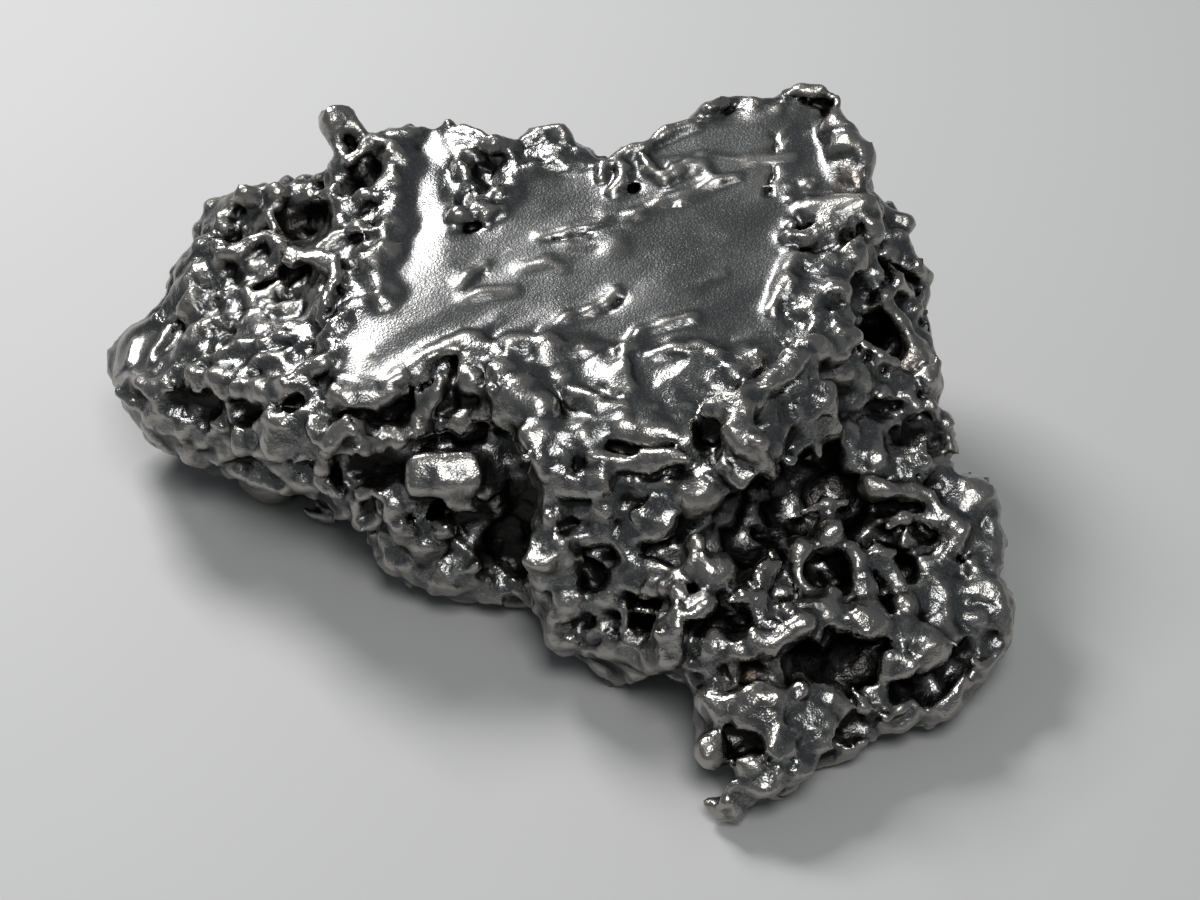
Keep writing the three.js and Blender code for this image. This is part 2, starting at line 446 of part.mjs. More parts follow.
// Signed distance to a closed loop in a plane, negative inside.
function loopDistance(x, y, loop) {
  let nearest = Infinity;
  let inside = false;
  for (let i = 0; i < loop.length; i++) {
    const [ax, ay] = loop[i];
    const [bx, by] = loop[(i + 1) % loop.length];
    const [ex, ey] = [bx - ax, by - ay];
    const along = ((x - ax) * ex + (y - ay) * ey) / (ex * ex + ey * ey);
    const t = THREE.MathUtils.clamp(along, 0, 1);
    nearest = Math.min(nearest, Math.hypot(x - ax - t * ex, y - ay - t * ey));
    if (ay <= y !== by <= y && x < ax + ((y - ay) * ex) / ey) inside = !inside;
  }
  return inside ? -nearest : nearest;
}

// Distance to a rod with round ends from a to b.
function rodDistance(point, a, b, radius) {
  const rod = new THREE.Line3(a, b);
  const nearest = a.equals(b) ? a : rod.closestPointToPoint(point, true, new THREE.Vector3());
  return point.distanceTo(nearest) - radius;
}

// Repeatable value from 0 to 1 for a cell of a lattice.
function lottery(i, j, k, seed) {
  let hash = Math.imul(i, 73856093) ^ Math.imul(j, 19349663) ^ Math.imul(k, 83492791);
  hash ^= Math.imul(seed, 2654435761);
  hash = Math.imul(hash ^ (hash >>> 13), 0x5bd1e995);
  hash = Math.imul(hash ^ (hash >>> 15), 0x27d4eb2d);
  return ((hash ^ (hash >>> 13)) >>> 0) / 2 ** 32;
}

// Soft lumps from -1 to 1, about `size` across.
function lumps(point, size, seed) {
  const place = point.clone().divideScalar(size);
  const cell = place.clone().floor();
  const part = place.sub(cell);
  const [fx, fy, fz] = part.toArray().map((t) => t * t * (3 - 2 * t));
  let sum = 0;
  for (const dx of [0, 1]) {
    for (const dy of [0, 1]) {
      for (const dz of [0, 1]) {
        const weight = (dx ? fx : 1 - fx) * (dy ? fy : 1 - fy) * (dz ? fz : 1 - fz);
        sum += weight * lottery(cell.x + dx, cell.y + dy, cell.z + dz, seed);
      }
    }
  }
  return 2 * sum - 1;
}

// Tilted facets with bevelled borders, like crumpled metal: height, and closeness to a border.
function facets(point, { size, seed, sharpness, tilt, bowl }) {
  const place = point.clone().divideScalar(size);
  const cell = place.clone().floor();
  let [sum, total, largest] = [0, 0, 0];
  for (const dx of [-1, 0, 1]) {
    for (const dy of [-1, 0, 1]) {
      for (const dz of [-1, 0, 1]) {
        const [i, j, k] = [cell.x + dx, cell.y + dy, cell.z + dz];
        const [hx, hy, hz, height] = [0, 1, 2, 3].map((n) => lottery(i, j, k, seed + n));
        const [x, y, z] = [place.x - i - hx, place.y - j - hy, place.z - k - hz];
        const [sx, sy, sz] = [hx, hy, hz].map((h) => 2 * ((h * 7.13 + 0.37) % 1) - 1);
        const square = x * x + y * y + z * z;
        const weight = Math.exp(-sharpness * Math.sqrt(square));
        sum += weight * (2 * height - 1 + tilt * (x * sx + y * sy + z * sz) + bowl * (square - 0.3));
        total += weight;
        largest = Math.max(largest, weight);
      }
    }
  }
  return [sum / total, 1 - largest / total];
}

// The sculpted solid as distances on a lattice, negative inside.
class Clay {
  constructor(low, high, step) {
    this.low = low;
    this.step = step;
    this.count = low.map((edge, i) => Math.ceil((high[i] - edge) / step) + 1);
    this.value = new Float32Array(this.count[0] * this.count[1] * this.count[2]).fill(FAR);
  }

  index(i, j, k) {
    return (i * this.count[1] + j) * this.count[2] + k;
  }

  // Replaces the value of every lattice point in the box by change(value, point).
  shape(change, box = null) {
    const range = this.count.map((count, axis) => {
      const edge = (corner) => (corner.getComponent(axis) - this.low[axis]) / this.step;
      const first = box ? Math.max(0, Math.floor(edge(box.min))) : 0;
      const last = box ? Math.min(count - 1, Math.ceil(edge(box.max))) : count - 1;
      return [first, last];
    });
    const point = new THREE.Vector3();
    for (let i = range[0][0]; i <= range[0][1]; i++) {
      for (let j = range[1][0]; j <= range[1][1]; j++) {
        for (let k = range[2][0]; k <= range[2][1]; k++) {
          const n = this.index(i, j, k);
          point.set(i, j, k).multiplyScalar(this.step).add(new THREE.Vector3(...this.low));
          this.value[n] = change(this.value[n], point);
        }
      }
    }
  }

  // Distance at any point, blended from the eight lattice points round it.
  at(point) {
    const place = point.toArray().map((c, axis) => (c - this.low[axis]) / this.step);
    const cell = place.map((c, axis) => THREE.MathUtils.clamp(Math.floor(c), 0, this.count[axis] - 2));
    if (place.some((c, axis) => c < 0 || c > this.count[axis] - 1)) return FAR;
    const [fx, fy, fz] = place.map((c, axis) => c - cell[axis]);
    let sum = 0;
    for (const dx of [0, 1]) {
      for (const dy of [0, 1]) {
        for (const dz of [0, 1]) {
          const weight = (dx ? fx : 1 - fx) * (dy ? fy : 1 - fy) * (dz ? fz : 1 - fz);
          sum += weight * this.value[this.index(cell[0] + dx, cell[1] + dy, cell[2] + dz)];
        }
      }
    }
    return sum;
  }

  // Outward direction at a point.
  outward(point) {
    const slopes = [0, 1, 2].map((axis) => {
      const offset = new THREE.Vector3().setComponent(axis, 1);
      return this.at(point.clone().add(offset)) - this.at(point.clone().sub(offset));
    });
    return new THREE.Vector3(...slopes).normalize();
  }

  // First point of the surface on a sight line, or the nearest miss.
  seen(place) {
    const direction = sightLine(place);
    let best = null;
    let least = Infinity;
    for (let reach = DISTANCE - 45; reach < DISTANCE + 45; reach += 0.2) {
      const point = EYE.clone().addScaledVector(direction, reach);
      const distance = this.at(point);
      if (distance < least) [best, least] = [point, distance];
      if (distance < 0) break;
    }
    return best;
  }
}

// Distance to one main mass, kept under the plane of the slab unless it is the slab.
function massDistance(mass, point, slabTop) {
  const { outline, top, floor, lean, rounding } = mass;
  const side = loopDistance(point.x, point.y, outline) + lean * (top[0].z - point.z);
  const upper = planeThrough(top).distanceToPoint(point);
  const solid = carve(carve(side, upper, rounding), floor - point.z, rounding);
  if (mass.name === "slab") return solid;
  return carve(solid, slabTop.distanceToPoint(point) + UNDER_SLAB, rounding);
}

// Distance to the rounded block.
function blockDistance(point) {
  const [a, b, c, d] = BLOCK.corners.map(pointAt);
  const middle = a.clone().add(b).add(c).add(d).divideScalar(4);
  const along = b.clone().sub(a).add(c).sub(d).divideScalar(2);
  const back = a.clone().sub(d).add(b).sub(c).divideScalar(2);
  const up = along.clone().cross(back).normalize();
  const half = new THREE.Vector3(along.length(), back.length(), BLOCK.depth).divideScalar(2);
  const offset = point.clone().sub(middle).addScaledVector(up, half.z);
  const local = [along.normalize(), back.normalize(), up].map((axis) => Math.abs(offset.dot(axis)));
  const beyond = local.map((c, axis) => c - half.getComponent(axis) + BLOCK.rounding);
  const outside = Math.hypot(...beyond.map((c) => Math.max(c, 0)));
  return outside + Math.min(Math.max(...beyond), 0) - BLOCK.rounding;
}

// The masses joined into one form.
function joinMasses(clay) {
  const slabTop = planeThrough(MASSES[0].top);
  for (const mass of MASSES) {
    clay.shape((value, point) => join(value, massDistance(mass, point, slabTop), MASS_BLEND));
  }
}

// The form trimmed to the outline of the picture, but for some spare millimetres.
function trimToOutline(clay, spare = 0) {
  const scale = DISTANCE / FOCAL;
  clay.shape((value, { x, y, z }) => {
    if (value > FAR / 2) return value;
    return carve(value, loopDistance(...project(x, y, z), OUTLINE) * scale - spare, 1);
  });
}

// Relief of the rough surface: broad swells, tilted facets and the creases between them.
const SWELL = { height: 0.6, size: 6.5, seed: 3, onCalm: 0.2 };
const FACET = { height: 0.62, size: 3.6, seed: 11, sharpness: 14, tilt: 1.3, bowl: 1.5 };
const CREASE = { depth: 0.4, from: 0.35 };
const DRIFT = { height: 0.9, size: 4, seeds: [61, 62, 63] };
const RELIEF_DEPTH = 3; // how far from the surface the relief is worked out

// How smooth the surface is at a point: 1 on the slab's face and the arm's tip, 0 elsewhere.
function calmAt(point) {
  const place = project(point.x, point.y, point.z);
  const inside = CALM.map((loop) => 0.5 - loopDistance(...place, loop) / CALM_EDGE);
  const calm = THREE.MathUtils.clamp(Math.max(...inside), 0, 1);
  const tops = MASSES.slice(0, 2).map((mass) => Math.abs(planeThrough(mass.top).distanceToPoint(point)));
  return calm * (1 - THREE.MathUtils.clamp((Math.min(...tops) - 1.8) / 1.2, 0, 1));
}

// Crumpled relief of the rough surface, a few millimetres across.
function crumple(clay) {
  clay.shape((value, point) => {
    if (Math.abs(value) > RELIEF_DEPTH) return value;
    const calm = calmAt(point);
    const rough = 1 - calm;
    const swell = SWELL.height * lumps(point, SWELL.size, SWELL.seed) * (rough + SWELL.onCalm * calm);
    const drift = DRIFT.seeds.map((seed) => DRIFT.height * lumps(point, DRIFT.size, seed));
    const [height, border] = facets(point.clone().add(new THREE.Vector3(...drift)), FACET);
    const crease = CREASE.depth * THREE.MathUtils.clamp(border - CREASE.from, 0, 1);
    return value - swell - rough * (FACET.height * height - crease);
  });
}

// Kinds of mark: the roundness round the mark and the radius of its rod, as shares of its radius.
const PIT = { roundness: 0.35, rod: 1 };
const KNOB = { roundness: 0.7, rod: 1 };
const CREST = { roundness: 1.3, rod: 0.6 }; // thin, between hollow flanks

function kindOf(mark) {
  if ("depth" in mark) return PIT;
  return mark.run.length > 1 ? CREST : KNOB;
}

// Centres of the rod of one ridge or pit, from where its run meets the surface.
function placeMark(clay, mark) {
  const kind = kindOf(mark);
  const points = mark.run.map((place) => {
    const point = clay.seen(place);
    const outward = clay.outward(point);
    const rise = (0.65 - kind.rod) * mark.radius;
    if (kind !== PIT) return point.addScaledVector(outward, mark.proud + rise);
    const open = outward.multiplyScalar(0.6).addScaledVector(sightLine(place), -0.4).normalize();
    return point.addScaledVector(open, mark.radius - mark.depth);
  });
  return { ...mark, points };
}

// Adds one ridge, or carves one pit.
function applyMark(clay, mark) {
  const { points } = mark;
  const kind = kindOf(mark);
  const [radius, blend] = [kind.rod * mark.radius, kind.roundness * mark.radius];
  const ends = points.length > 1 ? points.slice(1) : points;
  ends.forEach((end, i) => {
    const box = new THREE.Box3().setFromPoints([points[i], end]).expandByScalar(radius + blend + GRID);
    clay.shape((value, point) => {
      const distance = rodDistance(point, points[i], end, radius);
      return kind === PIT ? carve(value, -distance, blend) : join(value, distance, blend);
    }, box);
  });
}

// Knobs of the underside that carry the weight.
function addContacts(clay) {
  for (const { place, radius } of CONTACTS) {
    const centre = new THREE.Vector3(...place, radius - CONTACT_DEPTH);
    const box = new THREE.Box3().setFromPoints([centre]).expandByScalar(radius + 2);
    clay.shape((value, point) => join(value, point.distanceTo(centre) - radius, 1.2), box);
  }
}

// Marks every lattice point reached from the start points through points of the same side.
function reach(clay, starts, inside) {
  const [nx, ny, nz] = clay.count;
  const found = new Uint8Array(clay.value.length);
  const stack = [...starts];
  stack.forEach((n) => {
    found[n] = 1;
  });
  while (stack.length) {
    const n = stack.pop();
    const [i, j, k] = [Math.floor(n / (ny * nz)), Math.floor(n / nz) % ny, n % nz];
    const next = [
      [i > 0, -ny * nz],
      [i < nx - 1, ny * nz],
      [j > 0, -nz],
      [j < ny - 1, nz],
      [k > 0, -1],
      [k < nz - 1, 1],
    ];
    for (const [within, offset] of next) {
      const m = n + offset;
      if (!within || found[m] || clay.value[m] < 0 !== inside) continue;
      found[m] = 1;
      stack.push(m);
    }
  }
  return found;
}

// One body without loose crumbs, sealed bubbles or corners that touch without joining.
function consolidate(clay) {
  const { value, count } = clay;
  const middle = clay.index(...count.map((c) => Math.floor(c / 2)));
  const fill = (n) => {
    value[n] = -0.05;
  };
  const steps = [count[1] * count[2], count[2], 1];
  let changed = true;
  while (changed) {
    changed = false;
    for (let i = 0; i < count[0] - 1; i++) {
      for (let j = 0; j < count[1] - 1; j++) {
        for (let k = 0; k < count[2] - 1; k++) {
          const n = clay.index(i, j, k);
          for (const [a, b] of [[steps[0], steps[1]], [steps[1], steps[2]], [steps[0], steps[2]]]) {
            const [p, q, r, s] = [n, n + a, n + b, n + a + b].map((m) => value[m] < 0);
            if (p !== s || q !== r || p === q) continue;
            fill(p ? n + a : n);
            changed = true;
          }
          const [sx, sy, sz] = steps;
          for (const [a, b] of [[0, sx + sy + sz], [sx, sy + sz], [sy, sx + sz], [sz, sx + sy]]) {
            const corners = [0, sx, sy, sz, sx + sy, sx + sz, sy + sz, sx + sy + sz].map((m) => n + m);
            const inner = corners.filter((m) => value[m] < 0);
            const pair = [n + a, n + b];
            if (inner.length === 2 && pair.every((m) => value[m] < 0)) {
              fill(n + sx);
              fill(n);
              changed = true;
            }
            if (inner.length === 6 && pair.every((m) => value[m] >= 0)) {
              fill(n + a);
              changed = true;
            }
          }
        }
      }
    }
  }
  const body = reach(clay, [middle], true);
  const air = reach(clay, [0], false);
  for (let n = 0; n < value.length; n++) {
    if (value[n] < 0 && !body[n]) value[n] = 0.5;
    else if (value[n] >= 0 && !air[n]) value[n] = -0.5;
  }
}

// Surface of the clay: one vertex for each lattice cell it crosses, one square for each crossed edge.
function skin(clay) {
  const { value, count, low, step } = clay;
  const steps = [count[1] * count[2], count[2], 1];
  const number = new Map();
  const points = [];
  const corners = [0, 1, 2, 3, 4, 5, 6, 7].map((n) => [n >> 2, (n >> 1) & 1, n & 1]);
  const offset = corners.map(([a, b, c]) => a * steps[0] + b * steps[1] + c * steps[2]);
  for (let i = 0; i < count[0] - 1; i++) {
    for (let j = 0; j < count[1] - 1; j++) {
      for (let k = 0; k < count[2] - 1; k++) {
        const n = clay.index(i, j, k);
        const sum = new THREE.Vector3();
        let crossings = 0;
        for (let a = 0; a < 8; a++) {
          for (const bit of [4, 2, 1]) {
            const [from, to] = [value[n + offset[a]], value[n + offset[a | bit]]];
            if (a & bit || from < 0 === to < 0) continue;
            const t = from / (from - to);
            sum.add(new THREE.Vector3(...corners[a].map((c, x) => c + t * (corners[a | bit][x] - c))));
            crossings++;
          }
        }
        if (!crossings) continue;
        number.set(n, points.length);
        const place = sum.divideScalar(crossings).add(new THREE.Vector3(i, j, k)).multiplyScalar(step);
        points.push(place.add(new THREE.Vector3(...low)));
      }
    }
  }
  const faces = [];
  for (const n of number.keys()) {
    for (const axis of [0, 1, 2]) {
      const [side, other] = [steps[(axis + 1) % 3], steps[(axis + 2) % 3]];
      if (value[n] < 0 === value[n + steps[axis]] < 0) continue;
      const ring = [n - side - other, n - other, n, n - side].map((m) => number.get(m));
      const [a, b, c, d] = value[n] < 0 ? ring : ring.reverse();
      const even = points[a].distanceTo(points[c]) <= points[b].distanceTo(points[d]);
      faces.push(...(even ? [[a, b, c], [a, c, d]] : [[a, b, d], [b, c, d]]));
    }
  }
  return { points, faces };
}

// Twice the area of a triangle as a vector.
function areaVector(a, b, c) {
  return b.clone().sub(a).cross(c.clone().sub(a));
}

// Squared distance from a point to the planes gathered in a quadric.
function quadricCost(q, { x, y, z }) {
  const square = q[0] * x * x + q[4] * y * y + q[7] * z * z;
  const mixed = q[1] * x * y + q[2] * x * z + q[5] * y * z;
  return square + 2 * (mixed + q[3] * x + q[6] * y + q[8] * z) + q[9];
}

// Best point for a merged vertex: the low point of the quadric, or else an end or the middle.
function mergedPoint(q, a, b) {
  const middle = a.clone().lerp(b, 0.5);
  const choices = [a, b, middle];
  const matrix = new THREE.Matrix3().set(q[0], q[1], q[2], q[1], q[4], q[5], q[2], q[5], q[7]);
  if (Math.abs(matrix.determinant()) > 1e-4) {
    const low = new THREE.Vector3(-q[3], -q[6], -q[8]).applyMatrix3(matrix.invert());
    if (low.distanceTo(middle) < a.distanceTo(b)) choices.push(low);
  }
  const costs = choices.map((choice) => quadricCost(q, choice));
  const cost = Math.min(...costs);
  return { cost, point: choices[costs.indexOf(cost)] };
}

// Merges the flattest edges until the wanted number of faces is left.
function simplify({ points, faces }, wanted) {
  const around = points.map(() => new Set());
  const quadrics = points.map(() => new Array(10).fill(0));
  faces.forEach((face, n) => {
    const area = areaVector(...face.map((v) => points[v]));
    const size = area.length() + 1e-9;
    const { x, y, z } = area.divideScalar(size);
    const w = -(x * points[face[0]].x + y * points[face[0]].y + z * points[face[0]].z);
    const plane = [x * x, x * y, x * z, x * w, y * y, y * z, y * w, z * z, z * w, w * w];
    for (const v of face) {
      around[v].add(n);
      plane.forEach((term, i) => {
        quadrics[v][i] += term * size;
      });
    }
  });
  const neighbours = (v) => new Set([...around[v]].flatMap((n) => faces[n]).filter((u) => u !== v));
  const keepsForm = (a, b, point) =>
    [[a, b], [b, a]].every(([moved, gone]) =>
      [...around[moved]].every((n) => {
        if (faces[n].includes(gone)) return true;
        const before = areaVector(...faces[n].map((v) => points[v]));
        const corners = faces[n].map((v) => (v === moved ? point : points[v]));
        const after = areaVector(...corners);
        const longest = Math.max(...corners.map((c, i) => c.distanceTo(corners[(i + 1) % 3])));
        if (after.length() < 0.12 * longest * longest) return false;
        return before.dot(after) > 0.3 * before.length() * after.length();
      }),
    );
  let left = faces.length;
  const merge = (a, b, point) => {
    const shared = [...neighbours(a)].filter((v) => neighbours(b).has(v));
    if (shared.length !== 2 || !keepsForm(a, b, point)) return false;
    for (const n of [...around[b]]) {
      if (faces[n].includes(a)) {
        faces[n].forEach((v) => around[v].delete(n));
        faces[n] = null;
        left--;
      } else {
        faces[n] = faces[n].map((v) => (v === b ? a : v));
        around[a].add(n);
      }
    }
    around[b].clear();
    points[a] = point;
    quadrics[a] = quadrics[a].map((term, i) => term + quadrics[b][i]);
    return true;
  };
  while (left > wanted) {
    const edges = [];
    points.forEach((_, a) => {
      for (const b of neighbours(a)) {
        if (b < a) continue;
        const sum = quadrics[a].map((term, i) => term + quadrics[b][i]);
        edges.push({ a, b, ...mergedPoint(sum, points[a], points[b]) });
      }
    });
    edges.sort((one, two) => one.cost - two.cost);
    const busy = new Set();
    const before = left;
    for (const { a, b, point } of edges.slice(0, Math.ceil(edges.length / 5))) {
      if (left <= wanted) break;
      if (busy.has(a) || busy.has(b) || !merge(a, b, point)) continue;
      for (const v of neighbours(a)) busy.add(v);
      busy.add(a).add(b);
    }
    if (left === before) break;
  }
  return { points, faces: faces.filter(Boolean) };
}

// The surface as a geometry, one vertex for each point in use.
function geometryOf({ points, faces }) {
  const used = new Map();
  const index = faces.flat().map((v) => {
    if (!used.has(v)) used.set(v, used.size);
    return used.get(v);
  });
  const place = [...used.keys()].flatMap((v) => points[v].toArray());
  const geometry = new THREE.BufferGeometry();
  geometry.setAttribute("position", new THREE.Float32BufferAttribute(place, 3));
  return geometry.setIndex(index);
}

// A solid of the cutting library from a geometry.
function solidOf(kernel, geometry) {
  const bare = new THREE.BufferGeometry().setAttribute("position", geometry.getAttribute("position"));
  const merged = mergeVertices(bare.setIndex(geometry.index));
  const vertProperties = new Float32Array(merged.getAttribute("position").array);
  const triVerts = new Uint32Array(merged.index.array);
  return new kernel.Manifold(new kernel.Mesh({ numProp: 3, vertProperties, triVerts }));
}

// The geometry cut flat at the ground.
async function cutAtGround(geometry) {
  const kernel = await Module();
  kernel.setup();
  const ground = new THREE.BoxGeometry(200, 200, 20).translate(0, 0, -10);
  const parts = solidOf(kernel, geometry).subtract(solidOf(kernel, ground)).decompose();
  const [largest] = parts.sort((one, two) => two.volume() - one.volume());
  const mesh = largest.getMesh();
  const cut = new THREE.BufferGeometry();
  cut.setAttribute("position", new THREE.BufferAttribute(new Float32Array(mesh.vertProperties), 3));
  return cut.setIndex(new THREE.BufferAttribute(new Uint32Array(mesh.triVerts), 1));
}

// The whole piece.
async function meteorite() {
  const clay = new Clay([-38, -25, -2.1], [31, 31, 27], GRID);
  joinMasses(clay);
  trimToOutline(clay);
  crumple(clay);
  trimToOutline(clay);
  clay.shape((value, point) => join(value, blockDistance(point), 0.5));
  const marks = [...PITS, ...RIDGES].map((mark) => placeMark(clay, mark));
  marks.forEach((mark) => applyMark(clay, mark));
  trimToOutline(clay, MARK_SPARE);
  addContacts(clay);
  consolidate(clay);
  const geometry = await cutAtGround(geometryOf(simplify(skin(clay), FACES)));
  geometry.translate(-PLAN_CENTRE[0], -PLAN_CENTRE[1], 0);
  geometry.computeVertexNormals();
  const material = new THREE.MeshStandardMaterial({ color: 0x8c8a86, metalness: 1, roughness: 0.35 });
  const mesh = new THREE.Mesh(geometry, material);
  mesh.name = "meteorite";
  return mesh;
}

const piece = new THREE.Group();
piece.add(await meteorite());

export default piece;
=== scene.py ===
"""Iron meteorite: one natural piece of metal, sculpted as a distance field and finished as bare iron.

The form is worked out in millimetres on the sight lines of a 1200 x 900 picture, so that a pair such as
(722, 405) is a column and a row of that picture. It is then moved into the frame of the solid, in metres.
"""

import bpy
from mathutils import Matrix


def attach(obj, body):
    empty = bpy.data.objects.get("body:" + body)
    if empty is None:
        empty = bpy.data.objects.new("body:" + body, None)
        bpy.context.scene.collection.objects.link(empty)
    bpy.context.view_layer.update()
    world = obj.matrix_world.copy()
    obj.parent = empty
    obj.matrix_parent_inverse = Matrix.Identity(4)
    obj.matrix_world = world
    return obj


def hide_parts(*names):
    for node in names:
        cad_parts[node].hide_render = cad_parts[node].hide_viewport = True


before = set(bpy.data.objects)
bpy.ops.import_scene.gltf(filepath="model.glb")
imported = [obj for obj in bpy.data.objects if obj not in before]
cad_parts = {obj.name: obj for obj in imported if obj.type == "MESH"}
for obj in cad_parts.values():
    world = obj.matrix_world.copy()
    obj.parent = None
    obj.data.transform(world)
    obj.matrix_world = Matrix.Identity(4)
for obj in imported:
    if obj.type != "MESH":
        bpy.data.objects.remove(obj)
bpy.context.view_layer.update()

import logging
import math
from dataclasses import dataclass
from enum import Enum

import bpy
import numpy as np
from mathutils import Vector

log = logging.getLogger("meteorite")

Array = np.ndarray
Grid = tuple[Array, Array, Array]
Window = tuple[slice, ...]
Plane = tuple[Array, Array]
Place = tuple[float, float]
Loop = tuple[Place, ...]
Spot = tuple[float, float, float]
Spots = tuple[Spot, ...]
Colour = tuple[float, float, float, float]
Span = tuple[float, float]
Socket = bpy.types.NodeSocket

MILLIMETRE = 0.001
# Distance kept where the solid is nowhere near.
FAR = 6.0
TINY = 1e-9
# Where the origin of the solid lies on the ground under the sight lines.
PLAN_CENTRE = (-3.57, 2.7)
EIGHT_CORNERS = [(a, b, c) for a in (0, 1) for b in (0, 1) for c in (0, 1)]
NEIGHBOUR_CELLS = [(a, b, c) for a in (-1, 0, 1) for b in (-1, 0, 1) for c in (-1, 0, 1)]
# Factors and shifts that scatter whole numbers evenly.
CELL_FACTORS = (73856093, 19349663, 83492791)
SEED_FACTOR = 2654435761
SCATTER = ((13, 0x5BD1E995), (15, 0x27D4EB2D))
LAST_SHIFT = 13
# How a facet's slope follows from its centre, and the distance at which its dish is level.
SLOPE_STRETCH = 7.13
SLOPE_SHIFT = 0.37
DISH_LEVEL = 0.3
# A surface worked by a mark keeps to itself this far out, and the relief comes back over a skirt round it.
SKIN = 0.1
SKIRT = 0.7
UNIT = (0.0, 1.0)
NUMBER = "NodeSocketFloat"
VECTOR = "NodeSocketVector"


@dataclass(frozen=True)
class Sight:
    """The sight lines of the picture, in millimetres above the ground."""

    width: int = 1200
    height: int = 900
    lens: float = 85.0
    sensor: float = 36.0
    elevation: float = math.radians(42.0)
    distance: float = 187.0
    target: Spot = (0.0, 0.0, 12.0)

    @property
    def focal(self) -> float:
        """Focal length in picture units."""
        return self.lens / self.sensor * self.width

    @property
    def forward(self) -> Array:
        """Direction in which the lens looks."""
        return np.array([0.0, math.cos(self.elevation), -math.sin(self.elevation)])

    @property
    def up(self) -> Array:
        """Direction that is up in the picture."""
        return np.array([0.0, math.sin(self.elevation), math.cos(self.elevation)])

    @property
    def eye(self) -> Array:
        """Place of the lens."""
        return np.array(self.target) - self.distance * self.forward

    def line(self, place: Place) -> Array:
        """Direction of the sight line through a place of the picture.

        Args:
            place: column and row.

        Returns:
            The direction, of length 1.
        """
        across = (place[0] - self.width / 2) / self.focal
        above = (self.height / 2 - place[1]) / self.focal
        direction = self.forward + np.array([across, 0.0, 0.0]) + above * self.up
        return direction / np.linalg.norm(direction)

    def point_at(self, spot: Spot) -> Array:
        """Point on a sight line at a given height.

        Args:
            spot: column, row and height.

        Returns:
            The point, in millimetres.
        """
        direction = self.line(spot[:2])
        return self.eye + direction * ((spot[2] - self.eye[2]) / direction[2])

    def project(self, x: Array, y: Array, z: Array) -> tuple[Array, Array]:
        """Columns and rows of points.

        Args:
            x, y, z: coordinates that broadcast together.

        Returns:
            The columns and the rows.
        """
        depth = (y - self.eye[1]) * self.forward[1] + (z - self.eye[2]) * self.forward[2]
        above = ((y - self.eye[1]) * self.up[1] + (z - self.eye[2]) * self.up[2]) / depth
        return self.width / 2 + self.focal * x / depth, self.height / 2 - self.focal * above


SIGHT = Sight()


def join(a: Array, b: Array, blend: float) -> Array:
    """Smooth union of two distances."""
    overlap = np.maximum(blend - np.abs(a - b), 0.0) / blend
    return np.minimum(a, b) - overlap * overlap * (blend / 4)


def carve(a: Array, b: Array, blend: float) -> Array:
    """Smooth intersection of two distances."""
    return -join(-a, -b, blend)


def loop_distance(x: Array, y: Array, loop: Loop) -> Array:
    """Signed distance to a closed loop, negative inside.

    Args:
        x, y: coordinates that broadcast together.
        loop: corners of the loop in order.

    Returns:
        The distance of each point.
    """
    shape = np.broadcast(x, y).shape
    nearest = np.full(shape, np.inf, np.float32)
    inside = np.zeros(shape, bool)
    for (ax, ay), (bx, by) in zip(loop, loop[1:] + loop[:1]):
        ex, ey = bx - ax, by - ay
        along = np.clip(((x - ax) * ex + (y - ay) * ey) / (ex * ex + ey * ey), 0, 1)
        gap_x, gap_y = x - ax - along * ex, y - ay - along * ey
        nearest = np.minimum(nearest, gap_x * gap_x + gap_y * gap_y)
        if ey != 0:
            inside ^= ((ay <= y) != (by <= y)) & (x < ax + (y - ay) * (ex / ey))
    return np.where(inside, -1, 1) * np.sqrt(nearest)


def lottery(cell: Array, seed: int) -> Array:
    """Repeatable values from 0 to 1 for cells of a lattice.

    Args:
        cell: whole numbers, one row of three for each cell.
        seed: number of the drawing.

    Returns:
        One value for each cell.
    """
    x_factor, y_factor, z_factor = CELL_FACTORS
    code = (cell[:, 0] * x_factor) ^ (cell[:, 1] * y_factor) ^ (cell[:, 2] * z_factor)
    code = ((code ^ (seed * SEED_FACTOR)) & 0xFFFFFFFF).astype(np.uint32)
    for shift, factor in SCATTER:
        code = (code ^ (code >> np.uint32(shift))) * np.uint32(factor)
    return (code ^ (code >> np.uint32(LAST_SHIFT))).astype(np.float32) / np.float32(2**32)


def lumps(points: Array, size: float, seed: int) -> Array:
    """Soft lumps from -1 to 1.

    Args:
        points: one row for each point.
        size: width of a lump.
        seed: number of the drawing.

    Returns:
        One value for each point.
    """
    place = points / size
    cell = np.floor(place).astype(np.int64)
    part = (place - cell).astype(np.float32)
    part = part * part * (3 - 2 * part)
    total = np.zeros(len(points), np.float32)
    for corner in EIGHT_CORNERS:
        weight = np.prod(np.where(np.array(corner) == 1, part, 1 - part), axis=1)
        total += weight * lottery(cell + corner, seed)
    return 2 * total - 1


